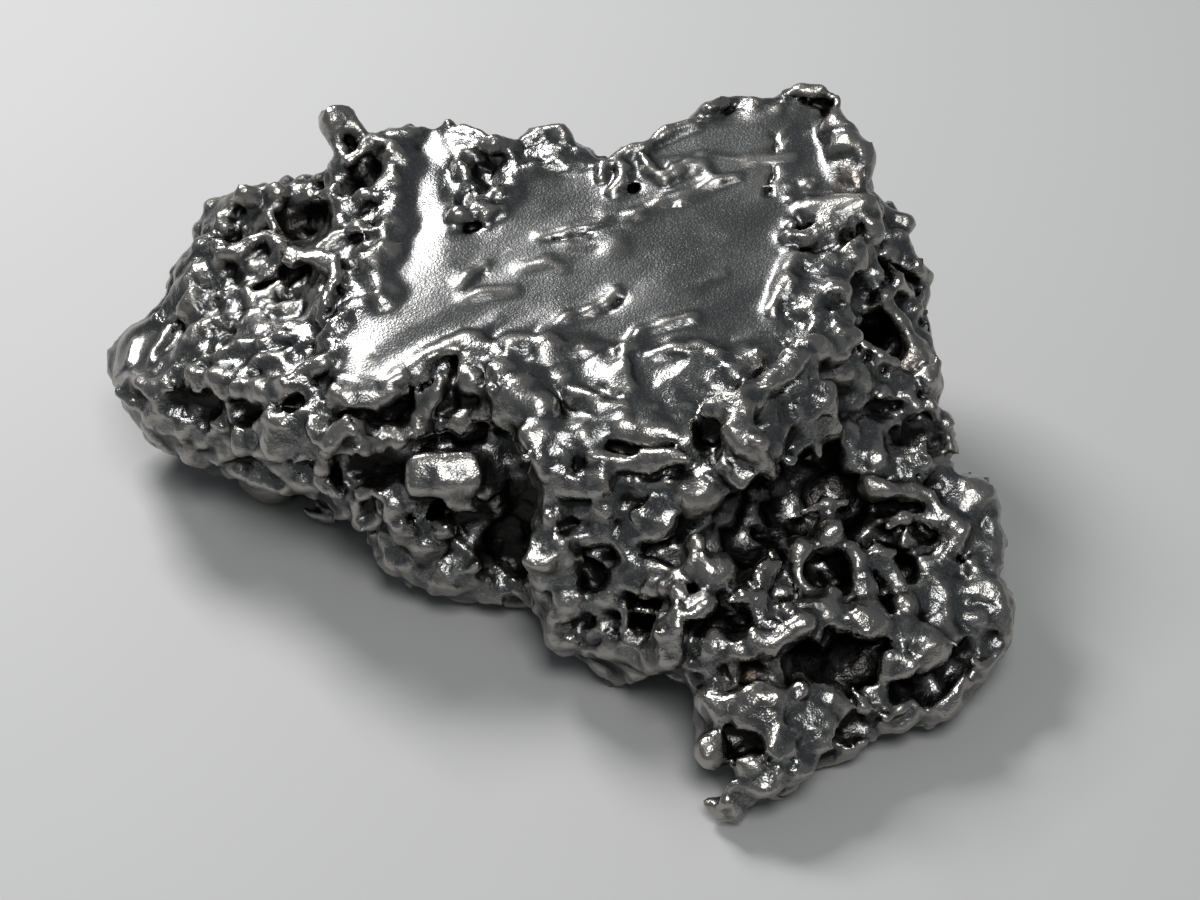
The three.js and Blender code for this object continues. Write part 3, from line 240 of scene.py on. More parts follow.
def facets(
    points: Array, size: float, seed: int, sharpness: float, tilt: float, bowl: float
) -> tuple[Array, Array]:
    """Tilted, dished facets with bevelled borders, like crumpled metal.

    Args:
        points: one row for each point.
        size: width of a facet.
        seed: number of the drawing.
        sharpness: narrowness of the bevels.
        tilt: slope of the facets.
        bowl: how far the facets are dished.

    Returns:
        The height, about -1 to 1, and the closeness to a border, 0 to about 0.7.
    """
    place = points / size
    cell = np.floor(place).astype(np.int64)
    part = (place - cell).astype(np.float32)
    total, weights, largest = (np.zeros(len(points), np.float32) for _ in range(3))
    for step in NEIGHBOUR_CELLS:
        centre = np.stack([lottery(cell + step, seed + n) for n in range(3)], axis=1)
        height = lottery(cell + step, seed + 3)
        slope = 2 * ((centre * SLOPE_STRETCH + SLOPE_SHIFT) % 1) - 1
        gap = part - np.array(step, np.float32) - centre
        square = np.sum(gap * gap, axis=1)
        weight = np.exp(-sharpness * np.sqrt(square))
        sloping = tilt * np.sum(gap * slope, axis=1)
        total += weight * (2 * height - 1 + sloping + bowl * (square - DISH_LEVEL))
        weights += weight
        largest = np.maximum(largest, weight)
    return total / weights, 1 - largest / weights


class Clay:
    """A solid kept as distances on a lattice, negative inside."""

    SIGHT_REACH = 45.0
    SIGHT_STEP = 0.2

    def __init__(self, low: Spot, high: Spot, step: float) -> None:
        """Empty space.

        Args:
            low, high: opposite corners of the space.
            step: distance between lattice points.
        """
        self.low = np.array(low, float)
        self.step = step
        self.axes = [np.arange(a, b + step, step, dtype=np.float32) for a, b in zip(low, high)]
        self.value = np.full([len(axis) for axis in self.axes], FAR, np.float32)

    def window(self, low: Array, high: Array) -> Window:
        """Part of the lattice.

        Args:
            low, high: opposite corners of the part.

        Returns:
            One slice of lattice points for each axis.
        """
        first = np.maximum(0, np.floor((low - self.low) / self.step)).astype(int)
        last = np.maximum(0, np.ceil((high - self.low) / self.step) + 1).astype(int)
        return tuple(slice(a, b) for a, b in zip(first, last))

    def grid(self, window: Window = (slice(None),) * 3) -> Grid:
        """Coordinates of the lattice points in a window, ready to broadcast."""
        x, y, z = (axis[part] for axis, part in zip(self.axes, window))
        return x[:, None, None], y[None, :, None], z[None, None, :]

    def near_surface(self, depth: float) -> tuple[Array, Array]:
        """Mask and coordinates of the lattice points within a depth of the surface."""
        near = np.abs(self.value) < depth
        return near, self.low + self.step * np.argwhere(near)

    def at(self, points: Array) -> Array:
        """Distance at any points, blended from the lattice points round each.

        Args:
            points: one row for each point.

        Returns:
            One distance for each point, FAR outside the lattice.
        """
        place = (np.atleast_2d(points) - self.low) / self.step
        top = np.array(self.value.shape) - 1
        cell = np.clip(np.floor(place).astype(int), 0, top - 1)
        part = place - cell
        total = np.zeros(len(place))
        for corner in EIGHT_CORNERS:
            weight = np.prod(np.where(np.array(corner) == 1, part, 1 - part), axis=1)
            total += weight * self.value[tuple((cell + corner).T)]
        outside = (place < 0).any(axis=1) | (place > top).any(axis=1)
        return np.where(outside, FAR, total)

    def outward(self, points: Array, reach: float = 1.0) -> Array:
        """Outward directions, from the slope of the distance.

        Args:
            points: one row for each point.
            reach: how far to each side the slope is felt.

        Returns:
            One direction for each point.
        """
        points = np.atleast_2d(points)
        offsets = reach * np.eye(3)
        slope = np.stack([self.at(points + o) - self.at(points - o) for o in offsets], axis=1)
        return slope / (np.linalg.norm(slope, axis=1, keepdims=True) + TINY)

    def seen(self, place: Place) -> Array:
        """First point of the surface on a sight line, or the nearest miss.

        Args:
            place: column and row of the picture.

        Returns:
            The point.
        """
        nearest, furthest = SIGHT.distance - self.SIGHT_REACH, SIGHT.distance + self.SIGHT_REACH
        reach = np.arange(nearest, furthest, self.SIGHT_STEP)
        points = SIGHT.eye + reach[:, None] * SIGHT.line(place)
        distance = self.at(points)
        hits = np.nonzero(distance < 0)[0]
        return points[hits[0] if len(hits) else int(np.argmin(distance))]

    def refined(self, step: float) -> "Clay":
        """The same solid on a finer lattice.

        Args:
            step: distance between the new lattice points.

        Returns:
            The new solid.
        """
        fine = Clay(tuple(self.low), tuple(axis[-1] for axis in self.axes), step)
        value = self.value
        for n, axis in enumerate(fine.axes):
            just_inside = value.shape[n] - 1.001
            place = np.clip((axis - self.low[n]) / self.step, 0, just_inside)
            cell = place.astype(int)
            part = (place - cell).astype(np.float32).reshape([-1 if m == n else 1 for m in range(3)])
            value = np.take(value, cell, n) * (1 - part) + np.take(value, cell + 1, n) * part
        fine.value = value.astype(np.float32)
        return fine

    def skin(self) -> tuple[Array, Array]:
        """Surface of the solid: a vertex for each cell it crosses, a square for each crossed edge.

        Returns:
            The vertices in millimetres and the squares as rows of four vertex numbers.
        """
        value, inside = self.value, self.value < 0
        size = [n - 1 for n in value.shape]
        count = sum(
            inside[a : a + size[0], b : b + size[1], c : c + size[2]].astype(np.int8)
            for a, b, c in EIGHT_CORNERS
        )
        active = (count > 0) & (count < 8)
        cells = np.argwhere(active)
        number = np.full(active.shape, -1, np.int32)
        number[active] = np.arange(len(cells))
        corners = np.array(EIGHT_CORNERS)
        values = np.stack([value[tuple((cells + corner).T)] for corner in corners], axis=1)
        total = np.zeros((len(cells), 3))
        crossings = np.zeros(len(cells))
        apart = np.abs(corners[:, None] - corners[None, :]).sum(axis=2)
        for a, b in np.argwhere(np.triu(apart == 1)):
            crossed = (values[:, a] < 0) != (values[:, b] < 0)
            span = np.where(crossed, values[:, a] - values[:, b], 1.0)
            along = (values[:, a] / span)[:, None]
            total += np.where(crossed[:, None], corners[a] + along * (corners[b] - corners[a]), 0.0)
            crossings += crossed
        vertices = self.low + self.step * (cells + total / crossings[:, None])
        squares = [self._squares(number, axis, outward) for axis in range(3) for outward in (True, False)]
        return vertices, np.concatenate(squares)

    def _squares(self, number: Array, axis: int, outward: bool) -> Array:
        """Squares across the lattice edges along one axis that leave or enter the solid.

        Args:
            number: number of the vertex in each cell.
            axis: 0, 1 or 2.
            outward: whether the edges leave the solid.

        Returns:
            Rows of four vertex numbers.
        """
        inside = self.value < 0
        start = inside[tuple(slice(0, -1) if n == axis else slice(None) for n in range(3))]
        end = inside[tuple(slice(1, None) if n == axis else slice(None) for n in range(3))]
        edges = np.argwhere(start & ~end if outward else ~start & end)
        side, other = (axis + 1) % 3, (axis + 2) % 3
        limit = np.array(inside.shape) - 1
        fits = (edges[:, [side, other]] > 0) & (edges[:, [side, other]] < limit[[side, other]])
        edges = edges[fits.all(axis=1)]
        ring = []
        for back_side, back_other in ((1, 1), (0, 1), (0, 0), (1, 0)):
            cell = edges.copy()
            cell[:, side] -= back_side
            cell[:, other] -= back_other
            ring.append(number[tuple(cell.T)])
        ring = np.stack(ring, axis=1)
        return ring if outward else ring[:, ::-1]


# Outline of the whole piece in the picture.
OUTLINE = (
    (103, 372), (106, 350), (118, 328), (140, 310), (160, 290), (172, 272), (190, 255), (190, 228),
    (203, 213), (206, 203), (222, 197), (240, 189), (262, 185), (285, 177), (305, 177), (326, 172),
    (320, 150), (316, 128), (326, 110), (343, 107), (357, 117), (368, 136), (388, 127), (408, 117),
    (440, 118), (470, 124), (486, 136), (520, 142), (532, 130), (562, 125), (575, 138), (600, 153),
    (615, 150), (640, 136), (665, 121), (700, 105), (725, 99), (757, 98), (785, 92), (802, 85),
    (822, 88), (839, 97), (846, 118), (859, 135), (873, 158), (869, 186), (884, 200), (912, 213),
    (916, 228), (908, 240), (914, 260), (932, 276), (929, 300), (934, 350), (943, 385), (938, 403),
    (955, 430), (961, 452), (948, 474), (985, 478), (997, 488), (1003, 520), (1008, 540), (1001, 578),
    (1012, 592), (1017, 610), (1009, 645), (990, 675), (962, 705), (940, 733), (905, 756), (865, 750),
    (830, 765), (815, 782), (786, 798), (756, 801), (738, 822), (718, 819), (705, 804), (722, 786),
    (736, 776), (705, 771), (694, 752), (694, 720), (690, 692), (665, 672), (620, 684), (598, 670),
    (580, 655), (562, 653), (547, 643), (545, 612), (500, 611), (450, 604), (420, 585), (390, 582),
    (372, 562), (366, 540), (345, 523), (318, 521), (298, 503), (255, 488), (212, 474), (178, 461),
    (145, 441), (132, 418), (112, 397),
)


class Kind(Enum):
    """What a mark does to the surface."""

    CREST = "crest"
    KNOB = "knob"
    PIT = "pit"

    @property
    def roundness(self) -> float:
        """Roundness of the corner round the mark, as a share of its radius."""
        return {Kind.CREST: 1.3, Kind.KNOB: 0.7, Kind.PIT: 0.35}[self]

    @property
    def waver(self) -> float:
        """Share of the wander of the metal that bends the mark."""
        return {Kind.CREST: 0.7, Kind.KNOB: 0.3, Kind.PIT: 1.0}[self]


@dataclass(frozen=True)
class Mark:
    """A ridge, knob or pit whose run is given as places of the picture.

    Its reach is how far a ridge or knob stands proud, and how deep a pit is.
    """

    name: str
    kind: Kind
    radius: float
    reach: float
    run: Loop
    crest_share: float = 0.6
    thinnest_rod: float = 0.26
    embedded: float = 0.65
    towards_eye: float = 0.4
    pit_closeness: float = 0.15

    @property
    def blend(self) -> float:
        """Roundness of the corner between the mark and the surface."""
        return self.kind.roundness * self.radius

    @property
    def rod(self) -> float:
        """Radius of the rod along the run, which is thinner in a crest between hollow flanks."""
        thin = max(self.crest_share * self.radius, self.thinnest_rod)
        return thin if self.kind is Kind.CREST else self.radius

    def centres(self, clay: Clay) -> Array:
        """Centres of the mark's rod, from where its run meets the surface.

        Args:
            clay: the form before any mark is made.

        Returns:
            One row for each place of the run.
        """
        points = np.array([clay.seen(place) for place in self.run])
        outward = clay.outward(points)
        if self.kind is not Kind.PIT:
            return points + outward * (self.reach + self.embedded * self.radius - self.rod)
        inward = np.array([SIGHT.line(place) for place in self.run])
        opening = (1 - self.towards_eye) * outward - self.towards_eye * inward
        opening /= np.linalg.norm(opening, axis=1, keepdims=True)
        return points + opening * (self.radius - self.reach)

    def apply(self, clay: Clay, handmade: Array, wander: Array, centres: Array) -> None:
        """Adds or carves the mark.

        Args:
            clay: the solid to change.
            handmade: closeness to marks, which is raised round this one.
            wander: shift of each lattice point, three values, that makes the marks uneven.
            centres: centres of the mark's rod.
        """
        ends = centres[1:] if len(centres) > 1 else centres
        for start, end in zip(centres, ends):
            margin = self.rod + self.blend + 1.0
            window = clay.window(np.minimum(start, end) - margin, np.maximum(start, end) + margin)
            bent = [g + self.kind.waver * w[window] for g, w in zip(clay.grid(window), wander)]
            distance = rod_distance(bent, start, end) - self.rod
            closeness = closeness_to(distance)
            value = clay.value[window]
            if self.kind is Kind.PIT:
                clay.value[window] = carve(value, -distance, self.blend)
                closeness *= self.pit_closeness
            else:
                clay.value[window] = join(value, distance, self.blend)
            handmade[window] = np.maximum(handmade[window], closeness)


def rod_distance(grid: Grid | list[Array], start: Array, end: Array) -> Array:
    """Distance of lattice points to a straight line.

    Args:
        grid: coordinates that broadcast together.
        start, end: ends of the line, which may be one point.

    Returns:
        The distances.
    """
    along = end - start
    offset = [axis - origin for axis, origin in zip(grid, start)]
    length = max(float(along @ along), TINY)
    part = np.clip(sum(o * a for o, a in zip(offset, along)) / length, 0, 1)
    return np.sqrt(sum((o - part * a) ** 2 for o, a in zip(offset, along)))


def closeness_to(distance: Array, level: float = 1.0) -> Array:
    """Closeness to a worked surface, from 1 on it to 0 outside the skirt round it."""
    return np.clip(level - (distance + SKIN) / SKIRT, 0, 1)


def ridge(name: str, radius: float, proud: float, *run: Place) -> Mark:
    """A crest along a run, or a knob at one place, that stands proud of the surface."""
    return Mark(name, Kind.CREST if len(run) > 1 else Kind.KNOB, radius, proud, run)


def pit(name: str, radius: float, depth: float, *run: Place) -> Mark:
    """A groove along a run, or a pit at one place, of some depth."""
    return Mark(name, Kind.PIT, radius, depth, run)


def plane_through(points: Spots | list[Array]) -> Plane:
    """Plane through three points.

    Args:
        points: the three points.

    Returns:
        The first point and the upward normal.
    """
    a, b, c = (np.array(point, float) for point in points)
    normal = np.cross(b - a, c - a)
    normal = normal / np.linalg.norm(normal)
    return a, normal if normal[2] > 0 else -normal


def height_over(plane: Plane, x: Array, y: Array, z: Array) -> Array:
    """Height of points over a plane."""
    point, normal = plane
    return (x - point[0]) * normal[0] + (y - point[1]) * normal[1] + (z - point[2]) * normal[2]


@dataclass(frozen=True)
class Region:
    """A main mass with its own marks: an outline in plan under a sloping top."""

    plan: Loop = ()
    top: Spots = ()
    floor: float = 1.2
    lean: float = 0.1
    rounding: float = 1.6
    marks: tuple[Mark, ...] = ()

    def outline(self) -> Loop:
        """Outline in plan, in millimetres."""
        return self.plan

    def plane(self) -> Plane:
        """Plane of the top, from three spots on sight lines."""
        return plane_through([SIGHT.point_at(spot) for spot in self.top])

    def distance(self, grid: Grid) -> Array:
        """Distance of lattice points to the mass.

        Args:
            grid: coordinates that broadcast together.

        Returns:
            The distances, negative inside.
        """
        x, y, z = grid
        plane = self.plane()
        side = loop_distance(x, y, self.outline()) + self.lean * (plane[0][2] - z)
        solid = carve(side, height_over(plane, x, y, z), self.rounding)
        return carve(solid, self.floor - z, self.rounding)


@dataclass(frozen=True)
class EdgedRegion(Region):
    """A region whose upper edge shows in the picture."""

    edge: Spots = ()

    def outline(self) -> Loop:
        """Plan of the upper edge."""
        return tuple(tuple(SIGHT.point_at(spot)[:2]) for spot in self.edge)


@dataclass(frozen=True)
class Slab(EdgedRegion):
    """The smooth slab on top, which slopes down to the front."""

    edge: Spots = (
        (335, 395, 16.5), (390, 400, 17), (430, 375, 18), (497, 362, 18.5), (522, 432, 17),
        (533, 462, 16), (640, 464, 16.5), (700, 445, 18), (745, 468, 18), (800, 405, 18.5),
        (850, 352, 18.5), (852, 260, 19.5), (873, 205, 21), (868, 160, 21.5), (845, 110, 22),
        (800, 86, 22.5), (700, 104, 22.5), (615, 149, 22), (560, 127, 21.5), (480, 128, 21.5),
        (400, 118, 21), (330, 158, 18.5), (300, 250, 16.5), (300, 330, 16),
    )
    top: Spots = ((390, 398, 17), (830, 350, 18.7), (700, 106, 22.7))
    floor: float = 9.5
    lean: float = 0.18
    # Rims, steps, knobs and slots of the slab.
    marks: tuple[Mark, ...] = (
        pit("spike pit", 0.45, 1, (632, 180), (631, 192)),
        pit("spike pit 2", 0.45, 0.9, (657, 163), (657, 174)),
        pit("back dark", 0.9, 0.8, (850, 178), (858, 180)),
        pit("peak slot", 0.45, 0.6, (806, 99), (822, 105), (829, 116)),
        pit("back patch hole", 0.5, 0.5, (462, 198), (470, 190)),
        pit("back patch hole 2", 0.35, 0.4, (468, 228), (480, 224)),
        pit("back patch trench", 0.8, 0.5, (470, 150), (484, 170), (486, 190)),
        pit("slab nick hole", 0.3, 0.3, (464, 284), (474, 276), (484, 270)),
        pit("slab line cut", 0.2, 0.25, (548, 240), (575, 234), (600, 226)),
        pit("slab line notch", 0.22, 0.3, (595, 238), (596, 254)),
        pit("slab crack", 0.2, 0.3, (772, 136), (776, 162), (768, 194)),
        pit("east curl hole", 0.35, 0.4, (812, 226), (806, 232)),
        pit("east undercut", 0.5, 0.6, (804, 252), (826, 246), (846, 241)),
        pit("mid notch", 0.35, 0.4, (607, 309), (616, 299)),
        ridge("slab step", 0.5, -0.2, (513, 195), (515, 176), (532, 165), (560, 163), (592, 167)),
        ridge("slab west rim", 0.9, -0.45, (395, 142), (410, 168), (395, 203), (403, 225), (388, 255),
            (374, 270), (388, 293)),
        ridge("back patch a", 0.7, 0.3, (464, 130), (480, 136), (495, 146), (515, 147)),
        ridge("back patch b", 0.8, 0.4, (535, 135), (556, 133)),
        ridge("back patch c", 0.9, 0.4, (564, 134)),
        ridge("back patch d", 0.7, 0.3, (497, 196)),
        ridge("back patch e", 0.4, 0, (474, 204), (488, 213), (500, 210)),
        ridge("back patch f", 0.75, 0.4, (459, 216)),
        ridge("slab nick", 0.4, -0.05, (460, 286), (468, 276), (484, 266)),
        ridge("slab line", 0.35, -0.1, (538, 238), (566, 231), (602, 221)),
        ridge("slab line 2", 0.35, -0.12, (562, 246), (580, 248), (594, 244)),
        ridge("slab ripple", 0.6, -0.35, (606, 216), (632, 215), (658, 205), (680, 199), (698, 192)),
        ridge("slab swell", 1.4, -0.9, (612, 246)),
        ridge("spike rim", 0.4, 0.3, (602, 180), (603, 170), (614, 164), (624, 170), (622, 186),
            (612, 194)),
        ridge("spike rim 2", 0.45, 0.35, (642, 160), (648, 172), (664, 182), (673, 172)),
        ridge("spike rim 3", 0.45, 0.15, (676, 176), (690, 167), (704, 168), (712, 180)),
        ridge("spike rim 4", 0.4, 0.15, (704, 187), (720, 184), (735, 178)),
        ridge("slab grit a", 0.5, 0, (790, 189)),
        ridge("slab grit b", 0.6, 0, (808, 184)),
        ridge("slab grit c", 0.4, 0.1, (790, 200)),
        ridge("back shelf lip", 0.45, -0.15, (655, 165), (700, 158), (745, 161), (790, 158)),
        ridge("back rim", 0.55, 0.1, (620, 155), (642, 148), (664, 136), (692, 124)),
        ridge("back rim bright", 0.75, 0.3, (706, 106), (722, 103), (740, 106), (756, 106)),
        ridge("peak rim", 0.6, 0.4, (784, 101), (800, 92), (820, 93), (833, 103), (836, 118)),
        ridge("peak rim 2", 0.6, 0.4, (836, 118), (846, 133), (858, 150)),
        ridge("peak bead", 1, 0.5, (835, 131)),
        ridge("peak foot", 0.95, 0.6, (838, 155), (852, 156), (866, 158)),
        ridge("peak dark", 1.1, 0.3, (855, 172)),
        ridge("east shoulder", 1, 0.1, (812, 210), (835, 212), (855, 208), (868, 205)),
        ridge("east lip", 0.4, 0.1, (812, 217), (830, 218), (846, 217)),
        ridge("east curl", 0.6, 0.4, (786, 238), (803, 243), (818, 238), (827, 228)),
        ridge("east curl 2", 0.5, 0.3, (790, 226)),
        ridge("slab east rim", 0.6, 0, (795, 258), (790, 272), (788, 284), (780, 296), (772, 312)),
        ridge("mid crest", 0.45, 0, (546, 333), (565, 319), (590, 312), (604, 305), (616, 291)),
        ridge("s ridge", 0.5, 0, (630, 388), (622, 368), (624, 350), (640, 336), (664, 326), (692, 318)),
        ridge("low swell", 0.6, -0.1, (656, 356), (674, 351), (700, 346), (718, 352)),
        ridge("pale patch", 0.9, -0.3, (736, 374), (750, 358), (774, 350)),
        ridge("slab band", 0.5, -0.22, (464, 302), (482, 294), (512, 292)),
        ridge("slab band 2", 0.35, -0.1, (482, 331), (498, 319)),
        ridge("slab band 3", 0.5, -0.25, (520, 268), (545, 262), (560, 270)),
        ridge("slab fleck", 0.4, -0.1, (372, 353)),
        ridge("slab fleck 2", 0.35, -0.1, (396, 364)),
        ridge("slab scrape", 0.3, -0.1, (700, 286), (722, 274)),
    )


@dataclass(frozen=True)
class Arm(EdgedRegion):
    """The arm to the left of the slab, with its rounded tip."""

    edge: Spots = (
        (345, 397, 17), (285, 394, 15.5), (245, 391, 14.5), (200, 386, 13.3), (150, 400, 11.5),
        (98, 376, 9.5), (100, 332, 9.5), (163, 285, 11), (190, 232, 13), (240, 189, 15), (300, 177, 17),
        (350, 158, 19), (420, 250, 18), (420, 330, 17.5),
    )
    top: Spots = ((112, 372, 9.5), (335, 395, 17), (300, 185, 17.2))
    floor: float = 3.0
    lean: float = 0.28
    rounding: float = 2.2
    # Rims, knobs and hollows of the arm.
    marks: tuple[Mark, ...] = (
        pit("arm underside west", 1.3, 1.2, (172, 408), (205, 405)),
        pit("arm underside", 1.3, 1.4, (235, 410), (262, 405), (285, 403)),
        pit("under dome", 1.5, 1.2, (290, 470), (310, 460)),
        pit("crater", 2, 1.5, (295, 218), (312, 222)),
        pit("back crater", 1.5, 1.3, (352, 180), (362, 170)),
        pit("arm trench", 0.9, 1, (262, 289), (276, 280), (292, 271), (315, 270), (326, 281)),
        pit("lump undercut", 0.9, 1, (228, 238), (245, 238), (262, 232)),
        pit("ball neck west", 0.55, 0.6, (313, 139), (320, 150)),
        pit("ball neck east", 0.45, 0.5, (363, 151), (371, 146)),
        pit("ball shadow", 0.5, 0.5, (346, 138), (356, 146)),
        ridge("arm rim west", 0.75, 0.15, (122, 378), (145, 386), (157, 392), (170, 385), (183, 377),
            (195, 376)),
        ridge("arm rim middle", 0.75, 0.2, (203, 380), (225, 378), (240, 384)),
        ridge("arm rim east", 0.8, 0.2, (249, 386), (262, 390), (277, 393), (293, 387), (308, 377),
            (322, 367), (335, 361)),
        ridge("slab lip west", 0.75, 0.2, (335, 394), (352, 398), (372, 397), (386, 396)),
        ridge("slab lip step", 0.7, 0.15, (388, 384), (402, 378), (418, 374)),
        ridge("slab lip step 2", 0.7, 0.1, (418, 366), (430, 360)),
        ridge("slab lip mid", 0.6, 0.15, (436, 354), (450, 347), (464, 342), (478, 344), (486, 352),
            (496, 354)),
        ridge("tip crease", 0.5, 0.2, (178, 318), (168, 336), (152, 362)),
        ridge("tip crease 2", 0.4, 0.1, (136, 342), (130, 362)),
        ridge("scale a", 0.8, 0.1, (188, 342), (203, 330), (220, 322)),
        ridge("scale b", 0.5, 0.15, (206, 362), (226, 356), (244, 346), (262, 344)),
        ridge("scale c", 0.5, 0.2, (266, 346), (284, 338), (300, 339)),
        ridge("scale d", 0.6, 0.15, (246, 374), (262, 362), (280, 358)),
        ridge("scale e", 0.5, 0.1, (290, 352), (304, 350), (312, 358)),
        ridge("arm wedge", 0.5, 0.25, (306, 343), (325, 345), (338, 330), (345, 319)),
        ridge("arm crest", 0.65, 0.4, (222, 259), (240, 256), (254, 247), (268, 243), (282, 251),
            (300, 258), (319, 262), (331, 268), (335, 286)),
        ridge("arm crest branch", 0.6, 0.35, (254, 288), (270, 276), (286, 262)),
        ridge("crater rim", 0.35, 0.2, (268, 214), (275, 230), (283, 243)),
        ridge("crater rim low", 0.55, 0.3, (326, 247), (340, 240), (358, 232), (370, 233)),
        ridge("back ridge", 0.6, 0.35, (318, 183), (335, 176), (350, 164), (366, 151), (378, 143)),
        ridge("back ridge 2", 0.5, 0.3, (378, 143), (392, 150), (402, 163)),
        ridge("ball", 1.25, 0.5, (334, 121)),
        ridge("ball side", 0.8, 0, (349, 118)),
        ridge("ball neck", 0.6, 0.1, (334, 140), (341, 152)),
        ridge("ball strand", 0.45, 0.3, (346, 123), (357, 130), (366, 140)),
        ridge("outline knob a", 0.75, 0.1875, (287, 181)),
        ridge("outline knob b", 0.75, 0.1875, (304, 181)),
        ridge("outline knob c", 0.8, 0.2, (276, 193)),
        ridge("outline knob d", 0.5, 0.125, (263, 185)),
        ridge("big knob", 1.7, 0.3, (243, 205)),
        ridge("big knob face", 0.9, 0.9, (256, 204)),
        ridge("ring knob", 0.95, 0.2375, (214, 208)),
        ridge("west knob", 0.75, 0.1875, (197, 230)),
        ridge("west knob 2", 0.8, 0.4, (225, 230)),
        ridge("west knob 3", 0.8, 0.2, (212, 243)),
        ridge("west rim", 0.55, 0.3, (228, 248), (210, 251), (201, 249), (190, 258), (180, 266)),
        ridge("west bead", 0.75, 0.2, (186, 283)),
        ridge("west bead 2", 0.6, 0.2, (193, 298)),
        ridge("west bead 3", 0.5, 0.25, (175, 320), (186, 313), (196, 308)),
        ridge("west bead 4", 0.55, 0.2, (205, 279)),
        ridge("west bead 5", 0.55, 0.2, (218, 277)),
        ridge("west arc", 0.45, 0.2, (219, 298), (234, 291), (249, 297), (256, 308)),
        ridge("arm patch", 0.9, 0.2, (290, 312)),
        ridge("arm patch 2", 0.6, 0.2, (322, 318), (328, 306), (330, 296)),
        ridge("arm patch 3", 0.6, 0.2, (272, 310)),
        ridge("arm patch 4", 0.8, 0, (300, 288)),
    )


@dataclass(frozen=True)
class Trunk(Region):
    """The body under the slab and the arm."""

    plan: Loop = (
        (-30, 9), (-21, 4.5), (-15, -1), (-10, -3.3), (-3.5, -3), (5, -4), (14, 0), (18, 8), (17, 21),
        (8, 23), (-2, 18), (-14, 20), (-26, 17),
    )
    top: Spots = ((-28, 9, 9), (-3, 0, 14), (16, 15, 15))
    lean: float = 0.12
    rounding: float = 2.0

    def plane(self) -> Plane:
        """Plane of the hidden top."""
        return plane_through(self.top)


@dataclass(frozen=True)
class Leg(Region):
    """The stepped leg under the slab's front edge, with the bright brow above it."""

    plan: Loop = (
        (-5.5, 1), (-4.2, -5), (-4, -9.8), (1, -12.4), (6, -11.5), (9, -8), (10, 3),
    )
    top: Spots = ((530, 462, 16), (690, 462, 16.5), (600, 655, 4.5))
    lean: float = 0.0
    rounding: float = 1.5
    # Tiers, seams and pockets of the leg.
    marks: tuple[Mark, ...] = (
        pit("leg cleft", 1.9, 2.6, (503, 425), (508, 455), (514, 490), (520, 525), (505, 560)),
        pit("dark seam", 0.8, 1, (690, 632), (715, 622), (745, 616)),
        pit("dark left seam", 0.7, 0.9, (690, 590), (685, 610)),
        pit("leg pocket 1", 1.2, 1.1, (590, 577), (596, 582)),
        pit("leg pocket 2", 0.7, 0.8, (592, 550), (612, 550)),
        pit("leg pocket 3", 1, 0.9, (640, 628), (648, 632)),
        pit("leg pocket 4", 0.8, 0.8, (575, 622), (590, 615)),
        pit("leg pocket 5", 0.8, 0.8, (650, 600), (665, 605)),
        pit("leg seam", 0.45, 0.6, (570, 470), (610, 474), (660, 474), (690, 473)),
        pit("step seam", 0.5, 0.6, (612, 447), (640, 452), (668, 450)),
        pit("brow crease", 0.3, 0.3, (602, 388), (608, 398), (622, 396)),
        pit("brow crease 2", 0.35, 0.3, (560, 378), (552, 386)),
        ridge("brow west", 1.1, 0, (506, 368), (518, 352), (542, 346)),
        ridge("brow knob", 1.7, 0.4, (517, 397)),
        ridge("brow knob 2", 1.1, 0.4, (540, 408)),
        ridge("brow roll", 0.7, 0, (562, 388), (578, 398), (600, 402)),
        ridge("brow step", 0.8, -0.1, (528, 434), (550, 432), (576, 432)),
        ridge("brow step 2", 0.55, 0.1, (590, 456), (620, 461), (650, 461), (688, 458)),
        ridge("brow slab", 0.8, -0.3, (620, 425), (650, 428), (680, 430)),
        ridge("brow line", 0.4, -0.1, (625, 408), (655, 412), (690, 406)),
        ridge("step face", 0.8, -0.3, (532, 478), (560, 482), (600, 484)),
        ridge("leg tier 1", 0.65, 0.15, (549, 518), (566, 514), (586, 508), (606, 507), (624, 510),
            (641, 518), (660, 518), (672, 522)),
        ridge("leg tile", 0.9, 0.3, (632, 531), (650, 531), (665, 529)),
        ridge("leg tier 2", 0.6, 0.15, (562, 546), (573, 538), (590, 540), (606, 533), (620, 538),
            (634, 546)),
        ridge("leg side", 0.7, 0.3, (561, 552), (568, 575), (565, 600), (556, 618), (550, 632)),
        ridge("leg tier 3", 0.6, 0.2, (568, 601), (588, 598), (606, 600)),
        ridge("leg lump", 1, 0.3, (611, 592), (624, 577), (645, 576)),
        ridge("leg hook", 0.6, 0.3, (622, 552), (636, 566), (652, 570)),
        ridge("leg hook 2", 0.55, 0.4, (652, 568), (666, 573), (680, 579), (684, 591)),
        ridge("leg hook 3", 0.5, 0.3, (650, 591), (668, 588), (682, 592)),
        ridge("leg thread", 0.4, 0.4, (676, 576), (690, 570), (695, 560)),
        ridge("leg spike", 0.55, 0.4, (622, 628), (625, 602)),
        ridge("leg base west", 1.1, 0.2, (552, 634), (562, 642), (578, 642)),
        ridge("leg base bead", 0.5, 0.8, (560, 635), (580, 634)),
        ridge("leg base rim", 0.95, 0.4, (612, 646), (638, 649), (655, 646), (670, 631), (678, 619)),
        ridge("leg keel", 0.9, 0.1, (585, 655), (602, 668), (620, 676), (645, 664), (672, 658)),
        ridge("leg bead", 0.5, 0.2, (598, 610)),
    )


